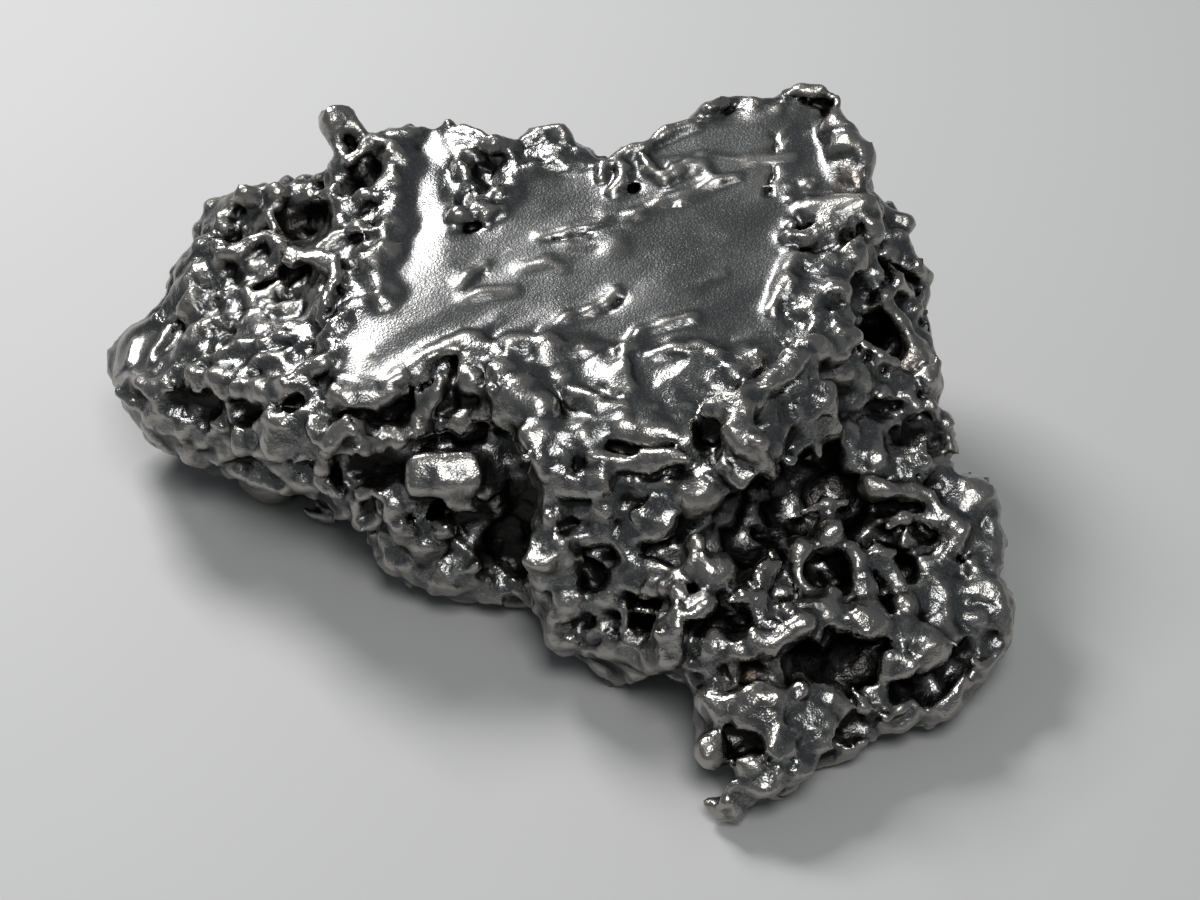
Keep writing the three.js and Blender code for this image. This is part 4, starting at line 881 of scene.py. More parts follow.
@dataclass(frozen=True)
class Lobe(Region):
    """The front right lobe, with the hollow under its great crest."""

    plan: Loop = (
        (5, -11), (7, -18), (13, -19.6), (18.5, -18.6), (24, -15.6), (28, -10.4), (28.6, -3), (24.5, 4),
        (14, 6), (6, -4),
    )
    top: Spots = ((900, 490, 11), (1000, 600, 6), (800, 720, 5))
    rounding: float = 2.0
    # Crests, lips, beads and hollows of the lobe.
    marks: tuple[Mark, ...] = (
        pit("great hollow", 3, 3.4, (715, 535), (755, 525), (800, 505), (835, 490)),
        pit("hollow roof", 2, 2.4, (790, 470), (815, 475)),
        pit("shelf below crest", 0.8, 1, (815, 385), (825, 395)),
        pit("lip well", 0.8, 1.1, (888, 506), (902, 507), (916, 508)),
        pit("dark under lip", 1.3, 1.5, (880, 545), (900, 575), (915, 575)),
        pit("bowl", 1.8, 1.4, (822, 575), (830, 572)),
        pit("dark under crest 2", 1.6, 1.8, (800, 665), (840, 668), (870, 655)),
        pit("lobe dark", 1.2, 1.1, (868, 720), (850, 728)),
        pit("lobe dark 2", 0.8, 0.8, (892, 738), (900, 736)),
        pit("lobe seam", 0.9, 1.2, (885, 640), (892, 610), (905, 590)),
        pit("lobe seam 2", 1.1, 1, (905, 690), (940, 680), (965, 650)),
        pit("nose pocket", 1.3, 1.3, (709, 428), (704, 452)),
        pit("crest face", 1.5, 0.6, (700, 398), (724, 392), (748, 382)),
        pit("crest undercut", 0.6, 0.9, (806, 380), (789, 394), (770, 411)),
        pit("nose wall", 2, 1.1, (716, 500), (722, 528)),
        ridge("crest east", 0.95, 0.4, (848, 338), (834, 344), (820, 350)),
        ridge("great crest", 0.95, 0.9, (814, 353), (800, 365), (784, 379), (764, 391), (746, 402),
            (734, 416)),
        ridge("crest nose", 1, 1.1, (734, 416), (735, 436), (736, 456)),
        ridge("crest nose fork", 0.8, 0.9, (736, 440), (748, 458), (764, 471)),
        ridge("crest branch", 0.7, 0.3, (734, 412), (720, 412), (707, 410)),
        ridge("crest pad", 1, 0.1, (760, 408)),
        ridge("shelf lump", 1.3, 0.2, (840, 370)),
        ridge("shelf blade", 0.6, 0.6, (822, 388)),
        ridge("shelf wedge", 2, 0.3, (800, 418)),
        ridge("shelf lip", 0.8, 0.5, (802, 432), (820, 428), (840, 431), (845, 447)),
        ridge("shelf lip 2", 0.55, 0.5, (782, 457), (795, 444), (808, 443), (815, 456)),
        ridge("shelf bead", 0.85, 0.4, (852, 463)),
        ridge("spout", 0.65, 0.6, (866, 484), (882, 494), (905, 492), (925, 498), (935, 512), (933, 524)),
        ridge("spout root", 0.95, 0.3, (872, 490)),
        ridge("spout low", 0.55, 0.4, (886, 528), (902, 518), (922, 517)),
        ridge("hook", 0.8, 0.5, (922, 566), (942, 559), (956, 546), (961, 532), (950, 520)),
        ridge("hollow bead", 0.55, 0.5, (760, 528)),
        ridge("hollow bead 2", 0.4, 0.4, (736, 540), (752, 536)),
        ridge("hollow cheek", 1.5, 0.2, (697, 495)),
        ridge("hollow cheek 2", 0.7, 0.3, (697, 542)),
        ridge("hollow floor rib", 0.5, 0.3, (800, 515), (825, 505), (845, 505)),
        ridge("hollow floor lump", 1.2, 0.2, (828, 535)),
        ridge("hollow floor lump 2", 1, 0.2, (800, 550)),
        ridge("finger", 0.6, 0.6, (752, 578), (762, 570), (771, 566)),
        ridge("middle plate", 1.4, 0.1, (714, 573)),
        ridge("middle wedge", 0.9, 0.4, (703, 606)),
        ridge("middle blade", 0.4, 0.7, (724, 602), (736, 598), (752, 604)),
        ridge("middle facet", 1.1, 0.3, (712, 646)),
        ridge("middle small", 0.4, 0.3, (690, 665), (708, 668)),
        ridge("middle small 2", 0.5, 0.3, (713, 672)),
        ridge("brow two", 0.85, 0.7, (742, 652), (760, 643), (785, 638), (800, 628), (815, 617),
            (826, 612), (836, 620), (856, 627), (870, 620)),
        ridge("brow two bead", 1.05, 0.6, (823, 615)),
        ridge("brow two bead 2", 1.25, 0.6, (869, 622)),
        ridge("bowl rim east", 0.7, 0.4, (852, 556), (861, 572), (866, 592), (862, 610), (851, 614)),
        ridge("bowl rim west", 0.5, 0.3, (798, 560), (796, 578), (806, 592), (825, 598)),
        ridge("bowl bead", 0.55, 0.4, (851, 549)),
        ridge("bowl neighbour", 0.85, 0.3, (872, 552), (886, 568), (894, 586)),
        ridge("middle rib", 0.4, 0.3, (766, 582), (761, 600), (757, 618)),
        ridge("middle grit", 0.65, 0.2, (783, 592)),
        ridge("middle grit 2", 0.6, 0.3, (786, 612)),
        ridge("lower lip", 0.7, 0.6, (774, 702), (795, 694), (815, 693), (832, 699)),
        ridge("lower lip knob", 1.1, 0.5, (826, 702)),
        ridge("lower lip tooth", 0.55, 0.6, (797, 682)),
        ridge("lower thread", 0.4, 0.3, (822, 664), (838, 661), (856, 666)),
        ridge("lobe crest", 0.75, 0.5, (884, 660), (902, 663), (918, 656), (930, 648)),
        ridge("lobe crest knob", 1.2, 0.4, (926, 649)),
        ridge("lobe crest knob 2", 1.2, 0.3, (942, 632)),
        ridge("lobe plate", 1.9, 0, (935, 593)),
        ridge("lobe bead", 0.85, 0.3, (967, 592)),
        ridge("lobe edge", 0.7, 0.3, (972, 566), (984, 588), (995, 606), (1003, 626), (1005, 642)),
        ridge("lobe edge 2", 0.5, 0.1, (1004, 592), (1012, 606), (1012, 622)),
        ridge("lobe scrape", 0.4, 0.2, (970, 662), (982, 666), (996, 657)),
        ridge("lobe vee", 0.5, 0.5, (850, 690), (862, 703), (881, 716), (896, 710), (908, 700)),
        ridge("lobe foot a", 0.55, 0.2, (832, 760), (848, 753), (862, 742)),
        ridge("lobe foot b", 0.5, 0.2, (914, 710), (908, 719), (898, 726)),
        ridge("lobe foot c", 0.5, 0.2, (932, 742), (946, 730), (961, 714)),
        ridge("lobe grey", 1.2, 0.2, (902, 630)),
        ridge("lobe grey 2", 0.8, 0.2, (905, 605)),
        ridge("lobe grey 3", 0.9, 0.2, (972, 618)),
    )


@dataclass(frozen=True)
class Flank(Region):
    """The steep right flank under the slab's edge."""

    plan: Loop = (
        (13, 0), (17, 16), (19, 21.5), (23.5, 15), (24.5, 4), (27, 1), (20, -3),
    )
    top: Spots = ((905, 245, 16.5), (940, 380, 13), (860, 420, 14))
    floor: float = 1.4
    # Knobs, ribs and wells of the flank.
    marks: tuple[Mark, ...] = (
        pit("right pocket", 0.9, 1.2, (850, 234), (866, 226), (876, 240)),
        pit("right pocket low", 0.9, 1, (880, 262), (890, 268)),
        pit("flank well", 1.5, 1.8, (880, 333), (895, 342)),
        pit("flank well top", 0.9, 1.1, (900, 278), (914, 282)),
        pit("ring well", 1.5, 1.6, (920, 432), (932, 432)),
        ridge("flank knob a", 0.75, 0.2, (908, 223)),
        ridge("flank knob b", 0.7, 0.4, (896, 236), (908, 250)),
        ridge("flank knob c", 0.9, 0.4, (872, 232)),
        ridge("flank knob d", 0.9, 0.3, (886, 255)),
        ridge("flank knob e", 0.65, 0.3, (912, 262)),
        ridge("flank rim", 0.6, 0.2, (916, 268), (928, 276), (932, 292)),
        ridge("flank knob f", 0.7, 0.4, (892, 285), (905, 295)),
        ridge("flank knob g", 0.65, 0.4, (914, 311)),
        ridge("flank rib", 0.65, 0.5, (880, 300), (895, 325), (910, 350), (922, 372), (924, 384)),
        ridge("flank rib 2", 0.35, 0.2, (925, 310), (930, 345), (935, 375)),
        ridge("flank blade", 0.5, 0.5, (865, 350), (878, 360), (890, 368)),
        ridge("flank rust lump", 1, 0.4, (912, 366)),
        ridge("flank knob h", 0.85, 0.1, (936, 388)),
        ridge("flank ring", 0.5, 0.4, (892, 416), (912, 409), (930, 408), (946, 420), (957, 440),
            (956, 460), (944, 466)),
        ridge("flank ring 2", 0.35, 0.3, (924, 468), (934, 463), (943, 472)),
        ridge("flank oval", 1, 0.4, (855, 258)),
        ridge("flank oval 2", 0.9, 0.2, (838, 290)),
        ridge("flank oval 3", 0.9, 0.1, (870, 280)),
        ridge("flank oval 4", 0.8, 0.1, (843, 318)),
        ridge("flank bright", 0.9, 0.2, (876, 462)),
        ridge("flank mid rib", 0.5, 0.3, (905, 395), (914, 405)),
        ridge("east cube", 1.9, 0.2, (972, 498)),
        ridge("east cube rim", 0.5, 0.2, (950, 481), (985, 481), (996, 490), (998, 510), (990, 526)),
    )


@dataclass(frozen=True)
class Foot(Region):
    """The foot behind the block, and the notch round it."""

    plan: Loop = (
        (-16, 0), (-14.5, -1.6), (-10, -3.9), (-3, -3.6), (0, 0), (-5, 4),
    )
    top: Spots = ((400, 540, 6), (520, 540, 7.5), (450, 500, 9.5))
    lean: float = 0.0
    # Rings, struts and dark gaps round the block.
    marks: tuple[Mark, ...] = (
        pit("block gap", 1.2, 1.5, (395, 452), (425, 441), (470, 440), (500, 447)),
        pit("ring pocket", 1.7, 1.8, (355, 465), (385, 465)),
        pit("lip gap", 0.9, 0.9, (340, 415), (370, 415), (395, 412)),
        pit("rim gap", 0.7, 0.8, (395, 392), (412, 388), (425, 383)),
        pit("notch crack", 0.45, 0.8, (458, 352), (457, 372), (450, 392)),
        pit("foot hollow", 2, 1.6, (470, 525), (500, 530)),
        pit("foot hollow 2", 1.2, 0.7, (455, 560)),
        pit("under block", 0.8, 1.3, (418, 512), (434, 514), (450, 510), (492, 503)),
        ridge("west blade", 0.4, 0.3, (182, 426), (188, 442)),
        ridge("west line", 0.3, 0.3, (190, 447), (206, 440), (222, 428)),
        ridge("dome", 1.7, 0.2, (280, 440)),
        ridge("dome rim", 0.4, 0.5, (262, 427), (275, 418), (291, 425)),
        ridge("west shine", 0.9, 0.1, (240, 447)),
        ridge("west keel", 0.9, 0.1, (190, 456), (215, 465), (245, 470), (278, 488)),
        ridge("short bar", 0.6, 0.4, (312, 424), (321, 436), (335, 440)),
        ridge("big ring", 0.65, 0.6, (346, 424), (335, 440), (328, 460), (331, 476), (346, 488)),
        ridge("big ring top", 0.5, 0.6, (350, 442), (362, 446), (376, 445), (389, 437), (403, 445),
            (415, 436), (424, 436)),
        ridge("wye", 0.6, 0.7, (446, 381), (438, 395), (427, 408), (425, 425), (424, 437)),
        ridge("wye arm", 0.35, 0.5, (427, 408), (412, 409)),
        ridge("ring eye", 0.5, 0.4, (352, 432)),
        ridge("small ring", 0.45, 0.5, (364, 491), (358, 505), (363, 519), (376, 521), (387, 511)),
        ridge("small ring top", 0.4, 0.5, (366, 490), (382, 489), (388, 497)),
        ridge("low line", 0.35, 0.2, (300, 503), (313, 513), (332, 518), (346, 514)),
        ridge("west of block", 0.95, 0.5, (399, 488), (399, 508), (408, 528), (424, 540)),
        ridge("below block", 1.2, 0.2, (422, 546)),
        ridge("below block 2", 0.8, 0.5, (446, 526)),
        ridge("foot knob", 1, 0.1, (395, 562)),
        ridge("foot knob 2", 1, 0.1, (425, 585)),
        ridge("above block a", 0.5, 0.4, (464, 419), (480, 411), (496, 414)),
        ridge("above block b", 0.8, 0.1, (470, 386)),
        ridge("above block c", 0.6, 0.2, (487, 398)),
        ridge("above block d", 0.55, 0.3, (440, 432), (452, 424), (462, 434)),
    )


@dataclass(frozen=True)
class Toe(Region):
    """The short toe at the front."""

    plan: Loop = (
        (4.5, -11), (4.6, -19), (6.5, -22.6), (9.6, -22.8), (13, -21.6), (15, -19), (13.5, -13),
    )
    top: Spots = ((740, 690, 6.5), (780, 690, 6.5), (735, 800, 3))
    floor: float = 0.7
    lean: float = 0.0
    rounding: float = 1.2
    # Knobs, arch and pockets of the toe.
    marks: tuple[Mark, ...] = (
        pit("toe pocket", 1.3, 1.1, (740, 738), (745, 748)),
        pit("toe pocket 2", 0.7, 0.7, (765, 750)),
        pit("toe gap", 0.9, 1, (715, 780), (725, 778)),
        ridge("toe top", 1.3, 0.1, (712, 702)),
        ridge("toe brow", 0.8, 0.4, (726, 717), (740, 712), (751, 700), (762, 693), (776, 698)),
        ridge("toe arch", 0.6, 0.5, (742, 714), (754, 724), (767, 727), (775, 740), (778, 758),
            (777, 775)),
        ridge("toe knob", 1.1, 0.2, (707, 750)),
        ridge("toe knob 2", 0.8, 0.4, (752, 768)),
        ridge("toe edge", 0.45, 0.2, (795, 732), (788, 748), (784, 770)),
        ridge("toe low", 0.9, 0.1, (772, 785)),
        ridge("toe tip", 0.7, 0.1, (709, 800), (720, 808), (734, 812), (742, 814)),
        ridge("toe tip 2", 0.5, 0.4, (734, 782), (728, 795), (736, 808)),
    )


@dataclass(frozen=True)
class Block:
    """The rounded rectangular block held in the notch."""

    corners: Spots = ((403, 449, 14.2), (496, 450, 14.2), (499, 492, 12.0), (405, 499, 12.0))
    depth: float = 5.0
    rounding: float = 0.7
    blend: float = 0.5
    kept_round: float = 2.0
    kept_level: float = 1.2

    def distance(self, grid: Grid) -> Array:
        """Distance of lattice points to the block.

        Args:
            grid: coordinates that broadcast together.

        Returns:
            The distances, negative inside.
        """
        a, b, c, d = (SIGHT.point_at(spot) for spot in self.corners)
        along = (b - a + c - d) / 2
        back = (a - d + b - c) / 2
        up = np.cross(along, back)
        up /= np.linalg.norm(up)
        middle = (a + b + c + d) / 4 - up * self.depth / 2
        half = (np.linalg.norm(along) / 2, np.linalg.norm(back) / 2, self.depth / 2)
        axes = (along / np.linalg.norm(along), back / np.linalg.norm(back), up)
        offset = [g - m for g, m in zip(grid, middle)]
        beyond = [
            np.abs(sum(o * c for o, c in zip(offset, axis))) - size + self.rounding
            for axis, size in zip(axes, half)
        ]
        outside = np.sqrt(sum(np.maximum(b, 0) ** 2 for b in beyond))
        inside = np.minimum(np.maximum(np.maximum(beyond[0], beyond[1]), beyond[2]), 0)
        return outside + inside - self.rounding

    def add(self, clay: Clay) -> None:
        """Joins the block to the solid."""
        clay.value = join(clay.value, self.distance(clay.grid()), self.blend).astype(np.float32)

    def keep(self, clay: Clay, handmade: Array) -> None:
        """Marks the block's skin as worked twice over, so that the fine relief leaves it smooth.

        Args:
            clay: the solid with the block.
            handmade: closeness to marks, which is raised round the block.
        """
        corners = np.array([SIGHT.point_at(spot) for spot in self.corners])
        window = clay.window(corners.min(axis=0) - self.kept_round, corners.max(axis=0) + self.kept_round)
        closeness = 2 * closeness_to(self.distance(clay.grid(window)), self.kept_level)
        handmade[window] = np.maximum(handmade[window], closeness)


@dataclass(frozen=True)
class Contacts:
    """Knobs of the underside that carry the weight, cut flat by the ground."""

    knobs: Spots = (
        (-23, 9, 2.6), (-14, 16, 2.4), (6, 19, 2.4), (19, 14, 2.2), (21, -8, 2.2), (12, -14, 1.8),
        (-9, -1, 2),
    )
    pressed: float = 0.45
    blend: float = 1.2
    margin: float = 2.0

    def add(self, clay: Clay) -> None:
        """Joins the knobs to the solid.

        Args:
            clay: the solid to change.
        """
        for x, y, radius in self.knobs:
            centre = np.array([x, y, radius - self.pressed])
            reach = radius + self.margin
            window = clay.window(centre - reach, centre + reach)
            distance = rod_distance(clay.grid(window), centre, centre) - radius
            clay.value[window] = join(clay.value[window], distance, self.blend)


@dataclass(frozen=True)
class CalmSurface:
    """The smooth face of the slab and of the arm's tip, in the picture."""

    slab: Loop = (
        (352, 318), (345, 345), (342, 390), (385, 392), (430, 356), (470, 338), (500, 345), (545, 335),
        (600, 345), (625, 345), (690, 345), (740, 345), (780, 335), (775, 300), (790, 260), (785, 235),
        (800, 215), (860, 205), (835, 170), (820, 110), (790, 104), (700, 118), (640, 150), (600, 165),
        (520, 172), (490, 225), (455, 228), (450, 165), (455, 135), (430, 124), (398, 142), (410, 170),
        (392, 205), (403, 240), (374, 272), (390, 298),
    )
    tip: Loop = ((108, 375), (112, 345), (135, 322), (170, 325), (165, 350), (150, 380))
    brow: Loop = (
        (508, 352), (545, 338), (600, 345), (700, 345), (738, 372), (700, 398), (690, 452), (600, 458),
        (536, 455), (512, 420),
    )
    brow_calm: float = 0.55
    edge: float = 24.0
    depth: float = 1.8
    fade: float = 1.2

    def at(self, points: Array) -> Array:
        """How smooth the surface is: 1 on the calm faces, 0 elsewhere.

        Args:
            points: one row for each point.

        Returns:
            One value for each point.
        """
        column, row = (c.astype(np.float32) for c in SIGHT.project(*points.T))
        slab, tip, brow = (
            np.clip(0.5 - loop_distance(column, row, loop) / self.edge, 0, 1)
            for loop in (self.slab, self.tip, self.brow)
        )
        calm = np.maximum(np.maximum(slab, tip), self.brow_calm * brow)
        below = np.minimum(*(np.abs(height_over(r.plane(), *points.T)) for r in (Slab(), Arm())))
        return calm * (1 - np.clip((below - self.depth) / self.fade, 0, 1))


@dataclass(frozen=True)
class FacetTier:
    """One size of tilted facets with creases between them.

    The share that is kept on a mark is given by kept, and drift is how far the pattern wanders, in facets.
    """

    size: float
    height: float
    seed: int
    sharpness: float
    tilt: float
    bowl: float = 1.5
    crease: float = 0.0
    crease_from: float = 0.35
    drift: float = 0.25
    drift_size: float = 1.1
    drift_seed: int = 50
    kept: float = 0.1

    def share(self, handmade: Array) -> Array:
        """Share of the relief: all away from the marks, some on them, none where twice as close.

        Args:
            handmade: closeness to the marks, 0 to 2.

        Returns:
            One share for each value.
        """
        on_marks = 1 - (1 - self.kept) * np.clip(handmade, 0, 1)
        return on_marks - self.kept * np.clip(handmade - 1, 0, 1)

    def relief(self, points: Array) -> Array:
        """Height of the relief.

        Args:
            points: one row for each point.

        Returns:
            One height for each point.
        """
        first = self.seed + self.drift_seed
        shift = [lumps(points, self.drift_size * self.size, first + n) for n in range(3)]
        drifted = points + self.drift * self.size * np.stack(shift, axis=1)
        height, border = facets(drifted, self.size, self.seed, self.sharpness, self.tilt, self.bowl)
        return self.height * height - self.crease * np.clip(border - self.crease_from, 0, 1)


@dataclass(frozen=True)
class Roll:
    """The gentle roll of the slab's face down to its left rim."""

    start: Spot = (455, 252, 19)
    end: Spot = (520, 130, 20)
    bend: float = 0.08
    knee: float = 2.2
    width: float = 10.0
    fade: float = 6.0
    hold: float = 1.5

    def drop(self, points: Array) -> Array:
        """How far the face falls away, in millimetres.

        Args:
            points: one row for each point.

        Returns:
            One value for each point.
        """
        start, end = (SIGHT.point_at(spot)[:2] for spot in (self.start, self.end))
        along = (end - start) / np.linalg.norm(end - start)
        from_start = points[:, :2] - start
        beyond = from_start[:, 1] * along[0] - from_start[:, 0] * along[1]
        share = np.clip(1 + from_start @ along / self.fade, 0, 1)
        curved = np.clip(beyond, 0, self.knee)
        drop = self.bend * curved * (np.clip(beyond, 0, None) - curved / 2)
        return share * np.where(beyond < self.width, drop, 0)


@dataclass(frozen=True)
class Streaks:
    """Long low streaks of the calm faces, which run from the front left to the back right."""

    angle: float = math.radians(38.0)
    length: float = 6.0
    width: float = 1.3
    thickness: float = 3.0
    height: float = 0.045
    seed: int = 41
    fine_share: float = 0.45
    fineness: float = 2.3
    fine_seed: int = 43

    def relief(self, points: Array) -> Array:
        """Height of the streaks.

        Args:
            points: one row for each point.

        Returns:
            One height for each point.
        """
        x, y, z = points.T
        along = x * math.cos(self.angle) + y * math.sin(self.angle)
        across = y * math.cos(self.angle) - x * math.sin(self.angle)
        stretched = np.stack([along / self.length, across / self.width, z / self.thickness], axis=1)
        broad = self.height * lumps(stretched, 1.0, self.seed)
        return broad + self.fine_share * self.height * lumps(self.fineness * stretched, 1.0, self.fine_seed)


@dataclass(frozen=True)
class Relief:
    """The crumpled relief of the rough surface and the streaks of the calm one."""

    calm: CalmSurface = CalmSurface()
    roll: Roll = Roll()
    streaks: Streaks = Streaks()
    swell: float = 0.6
    swell_size: float = 6.5
    swell_seed: int = 3
    calm_loses: float = 0.8
    coarse_tier: FacetTier = FacetTier(3.6, 0.62, 11, sharpness=14.0, tilt=1.3, crease=0.4)
    fine_tiers: tuple[FacetTier, ...] = (
        FacetTier(1.75, 0.24, 29, sharpness=18.0, tilt=1.6, bowl=0.5, kept=0.4),
        FacetTier(0.9, 0.08, 37, sharpness=16.0, tilt=1.6, bowl=0.5, kept=0.3),
    )
    wander_by: float = 0.22
    wander_size: float = 1.4
    wander_seed: int = 71
    coarse_reach: float = 3.0
    fine_reach: float = 1.3
    wander_reach: float = 4.0

    def add_coarse(self, clay: Clay) -> None:
        """Adds broad swells and large facets, which the solid has too, and the roll of the slab.

        Args:
            clay: the solid to change.
        """
        near, points = clay.near_surface(self.coarse_reach)
        calm = self.calm.at(points)
        swell = self.swell * lumps(points, self.swell_size, self.swell_seed) * (1 - self.calm_loses * calm)
        clay.value[near] -= swell + (1 - calm) * self.coarse_tier.relief(points)
        clay.value[near] += np.clip(self.roll.hold * calm, 0, 1) * self.roll.drop(points)

    def add_fine(self, clay: Clay, handmade: Array) -> None:
        """Adds small facets away from the marks, and streaks on the calm faces.

        Args:
            clay: the solid to change.
            handmade: closeness to marks, which keep their own surface.
        """
        near, points = clay.near_surface(self.fine_reach)
        calm = self.calm.at(points)
        relief = sum(tier.share(handmade[near]) * tier.relief(points) for tier in self.fine_tiers)
        clay.value[near] -= (1 - calm) * relief + calm * self.streaks.relief(points)

    def wander(self, clay: Clay) -> Array:
        """Slow shifts near the surface that bend the marks, so that none is an even rod.

        Args:
            clay: the solid that is about to be marked.

        Returns:
            Three arrays like the lattice, in millimetres.
        """
        near, points = clay.near_surface(self.wander_reach)
        shift = np.zeros((3, *near.shape), np.float32)
        for n in range(3):
            shift[n][near] = self.wander_by * lumps(points, self.wander_size, self.wander_seed + n)
        return shift


class Tree:
    """Short hand for the nodes of one material or group."""

    def __init__(self, tree: bpy.types.NodeTree) -> None:
        """Starts on an existing node tree."""
        self.tree = tree

    def node(self, kind: str, settings: dict | None = None, **inputs: object) -> bpy.types.Node:
        """Adds a node.

        Args:
            kind: Blender's name of the node type.
            settings: attributes to set on the node.
            inputs: values or sockets by input name, with _ for a space.

        Returns:
            The new node.
        """
        made = self.tree.nodes.new(kind)
        for name, value in (settings or {}).items():
            setattr(made, name, value)
        for name, value in inputs.items():
            self.feed(made.inputs[name.replace("_", " ")], value)
        return made

    def feed(self, socket: Socket, value: object) -> None:
        """Links a socket to another, or sets its value.

        Args:
            socket: the input to feed.
            value: an output, a number or a colour.
        """
        if isinstance(value, bpy.types.NodeSocket):
            self.tree.links.new(value, socket)
        else:
            socket.default_value = value

    def math(self, operation: str, *values: object) -> Socket:
        """Result of an arithmetic operation.

        Args:
            operation: Blender's name of the operation.
            values: numbers or sockets.

        Returns:
            The result.
        """
        made = self.tree.nodes.new("ShaderNodeMath")
        made.operation = operation
        for socket, value in zip(made.inputs, values):
            self.feed(socket, value)
        return made.outputs[0]

    def spread(self, value: object, span: Span, to: Span = (0.0, 1.0)) -> Socket:
        """Value of one range mapped softly to another and held inside it.

        Args:
            value: a number or a socket.
            span: lowest and highest value.
            to: the values that they become.

        Returns:
            The mapped value.
        """
        settings = {"interpolation_type": "SMOOTHSTEP"}
        limits = {"From_Min": span[0], "From_Max": span[1], "To_Min": to[0], "To_Max": to[1]}
        return self.node("ShaderNodeMapRange", settings, Value=value, **limits).outputs[0]

    def blend(self, share: object, low: object, high: object) -> Socket:
        """Colour between two colours.

        Args:
            share: 0 for the first colour to 1 for the second.
            low, high: the two colours.

        Returns:
            The blended colour.
        """
        made = self.node("ShaderNodeMix", {"data_type": "RGBA"})
        for index, value in zip((0, 6, 7), (share, low, high)):
            self.feed(made.inputs[index], value)
        return made.outputs[2]

    def noise(self, place: Socket, scale: float, detail: float) -> Socket:
        """Soft noise from 0 to 1, with the number of waves per metre as its scale."""
        made = self.node("ShaderNodeTexNoise", None, Vector=place, Scale=scale, Detail=detail)
        return made.outputs["Fac"]

    def cells(self, place: Socket, scale: float) -> Socket:
        """Distance to the nearest of scattered points, with the number per metre as its scale."""
        made = self.node("ShaderNodeTexVoronoi", {"feature": "F1"}, Vector=place, Scale=scale)
        return made.outputs["Distance"]


@dataclass(frozen=True)
class Group:
    """A shader node group with named inputs and outputs."""

    tree: Tree
    inputs: dict[str, Socket]
    end: bpy.types.Node

    @classmethod
    def start(cls, name: str, inputs: dict[str, str], outputs: tuple[str, ...]) -> "Group":
        """Starts a group whose outputs are numbers.

        Args:
            name: name of the group.
            inputs: socket type for each input name.
            outputs: name of each output.

        Returns:
            The group, with its inputs ready to use.
        """
        group = bpy.data.node_groups.new(name, "ShaderNodeTree")
        for socket, kind in inputs.items():
            group.interface.new_socket(socket, in_out="INPUT", socket_type=kind)
        for socket in outputs:
            group.interface.new_socket(socket, in_out="OUTPUT", socket_type=NUMBER)
        tree = Tree(group)
        start = tree.node("NodeGroupInput")
        return cls(tree, {name: start.outputs[name] for name in inputs}, tree.node("NodeGroupOutput"))

    def finish(self, **outputs: Socket) -> bpy.types.NodeTree:
        """Feeds the outputs.

        Args:
            outputs: what each output gives.

        Returns:
            The finished node tree.
        """
        for name, value in outputs.items():
            self.tree.feed(self.end.inputs[name], value)
        return self.tree.tree


@dataclass(frozen=True)
class Grain:
    """Fine grain of the metal: chips, crystals, speckle and a slow drift of tone."""

    chips_per_metre: float = 1900.0
    crystals_per_metre: float = 6500.0
    speckles_per_metre: float = 6000.0
    drifts_per_metre: float = 160.0
    detail: float = 3.0
    chip_height: Span = (1.5, 0.15)
    crystal_height: float = 0.5
    speckle_height: float = 0.6
    whole_height: Span = (1.0, 0.6)
    speckle_span: Span = (0.42, 0.72)

    def group(self) -> bpy.types.NodeTree:
        """Builds the node group; each height is given for the rough and for the calm surface.

        Returns:
            The node tree.
        """
        made = Group.start("metal grain", {"Place": VECTOR, "Calm": NUMBER}, ("Height", "Speckle", "Tone"))
        tree, place, calm = made.tree, made.inputs["Place"], made.inputs["Calm"]
        chips = tree.cells(place, self.chips_per_metre)
        crystals = tree.cells(place, self.crystals_per_metre)
        speckle = tree.noise(place, self.speckles_per_metre, self.detail)
        height = tree.math("MULTIPLY", chips, tree.spread(calm, UNIT, self.chip_height))
        height = tree.math("ADD", height, tree.math("MULTIPLY", crystals, self.crystal_height))
        height = tree.math("ADD", height, tree.math("MULTIPLY", speckle, self.speckle_height))
        return made.finish(
            Height=tree.math("MULTIPLY", height, tree.spread(calm, UNIT, self.whole_height)),
            Speckle=tree.spread(speckle, self.speckle_span),
            Tone=tree.noise(place, self.drifts_per_metre, self.detail),
        )


@dataclass(frozen=True)
class WearAndShade:
    """Where handling has polished the metal, and where shade is painted, with dark patina, in hollows and
    on down-turned faces.
    """

    unevenness: float = 0.5
    polish_span: Span = (0.1, 0.9)
    shade_and_patina_span: Span = (0.15, 0.85)

    def group(self) -> bpy.types.NodeTree:
        """Builds the node group.

        Returns:
            The node tree.
        """
        inputs = {"Edge": NUMBER, "Depth": NUMBER, "Variation": NUMBER}
        made = Group.start("wear_and_shade", inputs, ("Polish", "Grime"))
        tree = made.tree
        around = tree.math("SUBTRACT", made.inputs["Variation"], 0.5)
        uneven = tree.math("MULTIPLY", around, self.unevenness)
        return made.finish(
            Polish=tree.spread(tree.math("ADD", made.inputs["Edge"], uneven), self.polish_span),
            # Painted shade and dark patina where the surface is deep or turns down.
            Grime=tree.spread(tree.math("SUBTRACT", made.inputs["Depth"], uneven), self.shade_and_patina_span),
        )


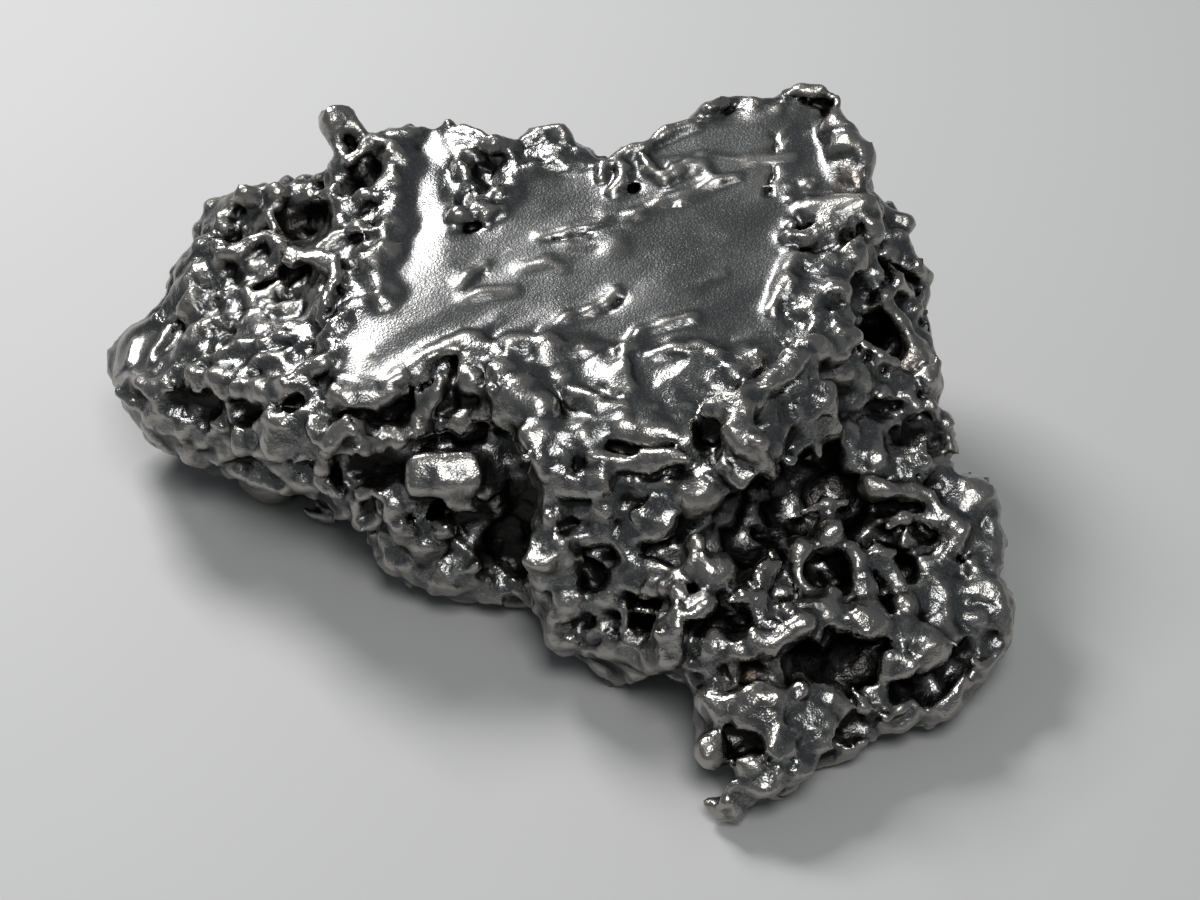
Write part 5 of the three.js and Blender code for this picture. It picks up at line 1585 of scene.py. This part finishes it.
@dataclass(frozen=True)
class IronFinish:
    """Bare meteoritic iron: painted shade and dark patina in the pits, painted shade on down-turned faces,
    bright on the ridges, with a little rust.
    """

    plain: Colour = (0.15, 0.152, 0.15, 1.0)
    # Painted shade: the near-black colour of hollows and down-turned faces, partly the dark patina of the
    # hollows.
    painted_shade_and_patina: Colour = (0.022, 0.021, 0.02, 1.0)
    polished: Colour = (0.42, 0.4, 0.37, 1.0)
    rust: Colour = (0.13, 0.055, 0.02, 1.0)
    rough_gloss: float = 0.27
    calm_gloss: float = 0.29
    # Roughness where shade and patina are painted.
    shade_and_patina_gloss: float = 0.3
    rust_gloss: float = 0.7
    gloss_drift: Span = (-0.05, 0.06)
    gloss_span: Span = (0.3, 0.7)
    rust_span: Span = (0.3, 0.6)
    speckle_span: Span = (0.2, 1.0)
    speckle_share: float = 0.4
    polish_share: float = 0.8
    grain_depth: float = 0.00003
    grain: Grain = Grain()
    wear_and_shade: WearAndShade = WearAndShade()
    slot: str = "iron"

    def material(self) -> bpy.types.Material:
        """Builds the material from the piece's own masks.

        Returns:
            The material.
        """
        made = bpy.data.materials.new("bare_iron")
        made.use_nodes = True
        tree = Tree(made.node_tree)
        shader = made.node_tree.nodes["Principled BSDF"]
        shader.inputs["Metallic"].default_value = 1.0
        edge, depth, calm, rusty = (self.mask(tree, name) for name in ("edge", "depth", "calm", "rust"))
        place = tree.node("ShaderNodeTexCoord").outputs["Object"]
        grain = tree.node("ShaderNodeGroup", {"node_tree": self.grain.group()}, Place=place, Calm=calm)
        tone = grain.outputs["Tone"]
        inputs = {"Edge": edge, "Depth": depth, "Variation": tone}
        wear_and_shade = tree.node("ShaderNodeGroup", {"node_tree": self.wear_and_shade.group()}, **inputs)
        polish, shade_and_patina = wear_and_shade.outputs["Polish"], wear_and_shade.outputs["Grime"]
        rust = tree.math("MULTIPLY", rusty, tree.spread(tone, self.rust_span))
        speckle = tree.spread(grain.outputs["Speckle"], self.speckle_span, (0.0, self.speckle_share))
        base = tree.blend(speckle, self.plain, self.polished)
        base = tree.blend(tree.math("MULTIPLY", polish, self.polish_share), base, self.polished)
        # Painted shade, with dark patina in the hollows: darkens the colour in hollows and on faces that
        # turn down.
        base = tree.blend(shade_and_patina, base, self.painted_shade_and_patina)
        tree.feed(shader.inputs["Base Color"], tree.blend(rust, base, self.rust))
        gloss = tree.spread(calm, UNIT, (self.rough_gloss, self.calm_gloss))
        gloss = tree.math("ADD", gloss, tree.spread(tone, self.gloss_span, self.gloss_drift))
        gloss = tree.math("MAXIMUM", gloss, tree.math("MULTIPLY", shade_and_patina, self.shade_and_patina_gloss))
        gloss = tree.math("MAXIMUM", gloss, tree.math("MULTIPLY", rust, self.rust_gloss))
        tree.feed(shader.inputs["Roughness"], gloss)
        height = grain.outputs["Height"]
        bump = tree.node("ShaderNodeBump", None, Height=height, Strength=1.0, Distance=self.grain_depth)
        tree.feed(shader.inputs["Normal"], bump.outputs["Normal"])
        return made

    def mask(self, tree: Tree, name: str) -> Socket:
        """Value of one of the piece's masks."""
        return tree.node("ShaderNodeAttribute", {"attribute_name": name}).outputs["Fac"]


@dataclass(frozen=True)
class RustSpot:
    """A brown patch round a place of the picture."""

    place: Place
    radius: float
    strength: float

    def at(self, points: Array, clay: Clay) -> Array:
        """Strength of the rust.

        Args:
            points: one row for each point.
            clay: the form on which the place is found.

        Returns:
            One value for each point.
        """
        distance = np.linalg.norm(points - clay.seen(self.place), axis=1)
        return self.strength * np.exp(-((distance / self.radius) ** 2))


@dataclass(frozen=True)
class WearAndShadePattern:
    """How worn edges, and the painted shade and dark patina of hollows and down-turned faces, follow from
    the form.
    """

    crisp_passes: int = 3
    broad_passes: int = 16
    crisp_edge: float = 8.0
    broad_edge: float = 1.0
    hollow: float = 3.0
    sunk: float = 0.2
    # Faces that turn down from facing_up get painted shade.
    turned_down: float = 0.9
    facing_up: float = 0.4

    def masks(self, mesh: bpy.types.Mesh, blank: Clay) -> dict[str, Array]:
        """Where the surface is a worn edge, and where it is deep or turns down, which gets painted shade
        and dark patina.

        Args:
            mesh: the surface, in millimetres on the sight lines.
            blank: the smooth form.

        Returns:
            One value from 0 to 1 for each vertex, by name of the mask.
        """
        points = rows_of(mesh.vertices, "co", 3)
        edges = rows_of(mesh.edges, "vertices", 2, np.int32)
        normals = rows_of(mesh.vertex_normals, "vector", 3)
        crisp = bulge(points, normals, edges, self.crisp_passes)
        broad = bulge(points, normals, edges, self.broad_passes)
        edge = self.crisp_edge * crisp + self.broad_edge * broad
        # Painted shade: darker in hollows, below the smooth form and on faces that turn down; the hollows
        # also hold dark patina.
        depth = -self.hollow * broad - self.sunk * blank.at(points)
        depth = depth + self.turned_down * (self.facing_up - normals[:, 2])
        return {"edge": np.clip(edge, 0, 1), "depth": np.clip(depth, 0, 1)}


@dataclass(frozen=True)
class Meteorite:
    """The whole piece: its regions are joined, marked, crumpled and skinned as one body."""

    regions: tuple[Region, ...] = (Slab(), Arm(), Trunk(), Leg(), Lobe(), Flank(), Foot(), Toe())
    block: Block = Block()
    contacts: Contacts = Contacts()
    relief: Relief = Relief()
    finish: IronFinish = IronFinish()
    wear_and_shade: WearAndShadePattern = WearAndShadePattern()
    rust: tuple[RustSpot, ...] = (
        RustSpot((150, 325), 1.0, 0.8),
        RustSpot((850, 180), 0.9, 0.5),
        RustSpot((910, 365), 0.9, 0.8),
        RustSpot((750, 700), 1.5, 0.55),
        RustSpot((905, 745), 1.0, 0.7),
    )
    low: Spot = (-38.0, -25.0, -2.1)
    high: Spot = (31.0, 31.0, 27.0)
    blank_step: float = 0.6
    step: float = 0.28
    quick_step: float = 0.4
    region_blend: float = 1.6
    trim_rounding: float = 1.0
    under_slab: float = 0.4
    spare: float = 0.4
    most_triangles: int = 196_000

    def blank(self) -> Clay:
        """Joins the regions and trims them to the outline.

        Returns:
            The smooth form.
        """
        clay = Clay(self.low, self.high, self.blank_step)
        grid = clay.grid()
        slab_top = self.regions[0].plane()
        for region in self.regions:
            mass = region.distance(grid)
            if not isinstance(region, Slab):
                mass = carve(mass, height_over(slab_top, *grid) + self.under_slab, region.rounding)
            clay.value = join(clay.value, mass, self.region_blend).astype(np.float32)
        self.trim(clay)
        return clay

    def trim(self, clay: Clay, spare: float = 0.0) -> None:
        """Cuts away what lies outside the outline of the picture.

        Args:
            clay: the solid to trim.
            spare: how far it may stand out, in millimetres.
        """
        near = clay.value < FAR / 2
        points = clay.low + clay.step * np.argwhere(near)
        column, row = (c.astype(np.float32) for c in SIGHT.project(*points.T))
        beyond = loop_distance(column, row, OUTLINE) * (SIGHT.distance / SIGHT.focal) - spare
        clay.value[near] = carve(clay.value[near], beyond, self.trim_rounding)

    def sculpt(self) -> tuple[Clay, Clay, Clay]:
        """Sculpts the solid; pits are marked first, so that crests stand whole over them.

        Returns:
            The finished solid, the smooth blank, and the form with its coarse relief only.
        """
        blank = self.blank()
        rough = blank.refined(self.blank_step)
        self.relief.add_coarse(rough)
        self.trim(rough)
        self.block.add(rough)
        marks = [mark for region in self.regions for mark in region.marks]
        marks.sort(key=lambda mark: mark.kind is not Kind.PIT)
        centres = [mark.centres(rough) for mark in marks]
        clay = rough.refined(self.step)
        handmade = np.zeros_like(clay.value)
        wander = self.relief.wander(clay)
        for mark, run in zip(marks, centres):
            log.debug("marking %s", mark.name)
            mark.apply(clay, handmade, wander, run)
        log.info("%d marks placed", len(marks))
        self.trim(clay, self.spare)
        self.block.keep(clay, handmade)
        self.relief.add_fine(clay, handmade)
        self.contacts.add(clay)
        return clay, blank, rough

    def build(self) -> bpy.types.Object:
        """Builds, dresses and places the piece.

        Returns:
            The piece.
        """
        clay, blank, rough = self.sculpt()
        vertices, squares = clay.skin()
        vertices[:, 2] = np.maximum(vertices[:, 2], 0.0)
        piece = mesh_object("iron_body", vertices, largest_island(len(vertices), squares))
        self.lighten(piece)
        self.add_masks(piece.data, blank, rough)
        self.place(piece.data)
        piece.data.materials.append(self.finish.material())
        return piece

    def lighten(self, piece: bpy.types.Object) -> None:
        """Merges the flattest faces until there are few enough triangles.

        Args:
            piece: the piece, which gets a new mesh.
        """
        triangles = 2 * len(piece.data.polygons)
        if triangles <= self.most_triangles:
            return
        modifier = piece.modifiers.new("lighten", "DECIMATE")
        modifier.ratio = self.most_triangles / triangles
        graph = bpy.context.evaluated_depsgraph_get()
        lighter = bpy.data.meshes.new_from_object(piece.evaluated_get(graph))
        lighter.validate()
        piece.modifiers.clear()
        piece.data = lighter

    def add_masks(self, mesh: bpy.types.Mesh, blank: Clay, rough: Clay) -> None:
        """Stores where the surface is an edge, a pit or down-turned face for painted shade and patina, calm
        or rusty, for the finish.

        Args:
            mesh: the surface, in millimetres on the sight lines.
            blank: the smooth form.
            rough: the form with its coarse relief.
        """
        points = rows_of(mesh.vertices, "co", 3)
        masks = self.wear_and_shade.masks(mesh, blank)
        masks["calm"] = self.relief.calm.at(points)
        masks["rust"] = np.max([spot.at(points, rough) for spot in self.rust], axis=0)
        for name, values in masks.items():
            attribute = mesh.attributes.new(name, "FLOAT", "POINT")
            attribute.data.foreach_set("value", np.asarray(values, np.float32))

    def place(self, mesh: bpy.types.Mesh) -> None:
        """Moves the surface from the sight lines into the frame of the solid, in metres.

        Args:
            mesh: the surface.
        """
        moved = (rows_of(mesh.vertices, "co", 3) - (*PLAN_CENTRE, 0.0)) * MILLIMETRE
        mesh.vertices.foreach_set("co", moved.astype(np.float32).ravel())
        mesh.update()


def rows_of(items: bpy.types.bpy_prop_collection, name: str, width: int, kind: type = np.float32) -> Array:
    """Values of the items of a mesh.

    Args:
        items: vertices, edges or normals.
        name: name of the value.
        width: how many numbers each item has.
        kind: type of the numbers.

    Returns:
        One row for each item.
    """
    values = np.empty(width * len(items), kind)
    items.foreach_get(name, values)
    return values.reshape(-1, width)


def bulge(points: Array, normals: Array, edges: Array, passes: int) -> Array:
    """How far the surface stands out of its smoothed self, in millimetres.

    Args:
        points, normals: one row for each vertex.
        edges: pairs of vertex numbers.
        passes: number of smoothing passes.

    Returns:
        One value for each vertex, negative in hollows.
    """
    count = np.bincount(edges.ravel(), minlength=len(points)).astype(np.float32)
    smooth = points.astype(np.float64)
    for _ in range(passes):
        total = np.zeros_like(smooth)
        for axis in range(3):
            for a, b in ((0, 1), (1, 0)):
                total[:, axis] += np.bincount(edges[:, a], smooth[edges[:, b], axis], len(points))
        smooth = total / np.maximum(count, 1)[:, None]
    return np.sum((points - smooth) * normals, axis=1)


def largest_island(size: int, squares: Array) -> Array:
    """Squares of the largest connected body.

    Args:
        size: number of vertices.
        squares: rows of four vertex numbers.

    Returns:
        The squares that belong to it.
    """
    label = np.arange(size)
    while True:
        lowest = label[squares].min(axis=1)
        updated = label.copy()
        for corner in range(4):
            np.minimum.at(updated, squares[:, corner], lowest)
        updated = updated[updated]
        if np.array_equal(updated, label):
            break
        label = updated
    names, counts = np.unique(label[squares[:, 0]], return_counts=True)
    return squares[label[squares[:, 0]] == names[np.argmax(counts)]]


def mesh_object(name: str, vertices: Array, faces: Array) -> bpy.types.Object:
    """Smoothly shaded object from vertices and faces.

    Args:
        name: name of the object.
        vertices: one row for each vertex.
        faces: one row of vertex numbers for each face.

    Returns:
        The object, linked into the scene.
    """
    used, number = np.unique(faces, return_inverse=True)
    mesh = bpy.data.meshes.new(name)
    mesh.vertices.add(len(used))
    mesh.vertices.foreach_set("co", vertices[used].astype(np.float32).ravel())
    mesh.loops.add(faces.size)
    mesh.loops.foreach_set("vertex_index", number.astype(np.int32).ravel())
    mesh.polygons.add(len(faces))
    mesh.polygons.foreach_set("loop_start", np.arange(0, faces.size, faces.shape[1], dtype=np.int32))
    mesh.update(calc_edges=True)
    mesh.validate()
    mesh.shade_smooth()
    made = bpy.data.objects.new(name, mesh)
    bpy.context.scene.collection.objects.link(made)
    return made


@dataclass(frozen=True)
class AreaLamp:
    """A square soft light that points at the piece."""

    name: str
    place: Spot
    side: float
    power: float
    aim: Spot = (0.0, 0.0, 0.012)

    def build(self) -> None:
        """Adds the light to the scene."""
        lamp = bpy.data.lights.new(self.name, "AREA")
        lamp.shape = "SQUARE"
        lamp.size = self.side
        lamp.energy = self.power
        made = bpy.data.objects.new(self.name, lamp)
        made.location = self.place
        made.rotation_mode = "QUATERNION"
        made.rotation_quaternion = (Vector(self.aim) - Vector(self.place)).to_track_quat("-Z", "Y")
        bpy.context.scene.collection.objects.link(made)


@dataclass(frozen=True)
class Studio:
    """Pale floor, soft lights and the camera."""

    floor_side: float = 6.0
    floor_colour: Colour = (0.42, 0.42, 0.415, 1.0)
    floor_roughness: float = 0.7
    sky_colour: Colour = (0.75, 0.8, 0.86, 1.0)
    sky_strength: float = 0.22
    nearest: float = 0.01
    furthest: float = 50.0
    lamps: tuple[AreaLamp, ...] = (
        AreaLamp("window", (-0.108, 0.139, 0.2), 0.075, 0.68),
        AreaLamp("ceiling", (0.05, -0.25, 0.5), 0.2, 1.5),
    )

    def build(self) -> None:
        """Adds the whole studio."""
        self.build_floor()
        self.build_sky()
        self.build_camera()
        for lamp in self.lamps:
            lamp.build()

    def build_floor(self) -> None:
        """Adds the plain pale floor."""
        half = self.floor_side / 2
        corners = np.array([(-half, -half, 0), (half, -half, 0), (half, half, 0), (-half, half, 0)])
        floor = mesh_object("floor", corners, np.array([[0, 1, 2, 3]]))
        finish = bpy.data.materials.new("pale_floor")
        finish.use_nodes = True
        shader = finish.node_tree.nodes["Principled BSDF"]
        shader.inputs["Base Color"].default_value = self.floor_colour
        shader.inputs["Roughness"].default_value = self.floor_roughness
        floor.data.materials.append(finish)

    def build_sky(self) -> None:
        """Sets the even light that comes from all round."""
        sky = bpy.data.worlds.new("soft sky")
        sky.use_nodes = True
        background = sky.node_tree.nodes["Background"]
        background.inputs["Color"].default_value = self.sky_colour
        background.inputs["Strength"].default_value = self.sky_strength
        bpy.context.scene.world = sky

    def build_camera(self) -> None:
        """Adds the camera on the sight lines."""
        camera = bpy.data.cameras.new("camera")
        camera.lens = SIGHT.lens
        camera.sensor_width = SIGHT.sensor
        camera.clip_start = self.nearest
        camera.clip_end = self.furthest
        made = bpy.data.objects.new("camera", camera)
        made.location = (SIGHT.eye - (*PLAN_CENTRE, 0.0)) * MILLIMETRE
        made.rotation_mode = "QUATERNION"
        made.rotation_quaternion = Vector(SIGHT.forward).to_track_quat("-Z", "Y")
        bpy.context.scene.collection.objects.link(made)
        bpy.context.scene.camera = made


def main() -> None:
    """Builds the piece and the studio, and reports the piece."""
    logging.basicConfig(level=logging.INFO, format="%(name)s: %(message)s")
    bpy.context.scene.view_settings.view_transform = "Standard"
    meteorite = Meteorite()
    piece = meteorite.build()
    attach(piece, "root")
    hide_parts("meteorite")
    mesh = piece.data
    mesh.calc_loop_triangles()
    log.info("%s: %d triangles", piece.name, len(mesh.loop_triangles))
    Studio().build()


if __name__ == "__main__":
    main()
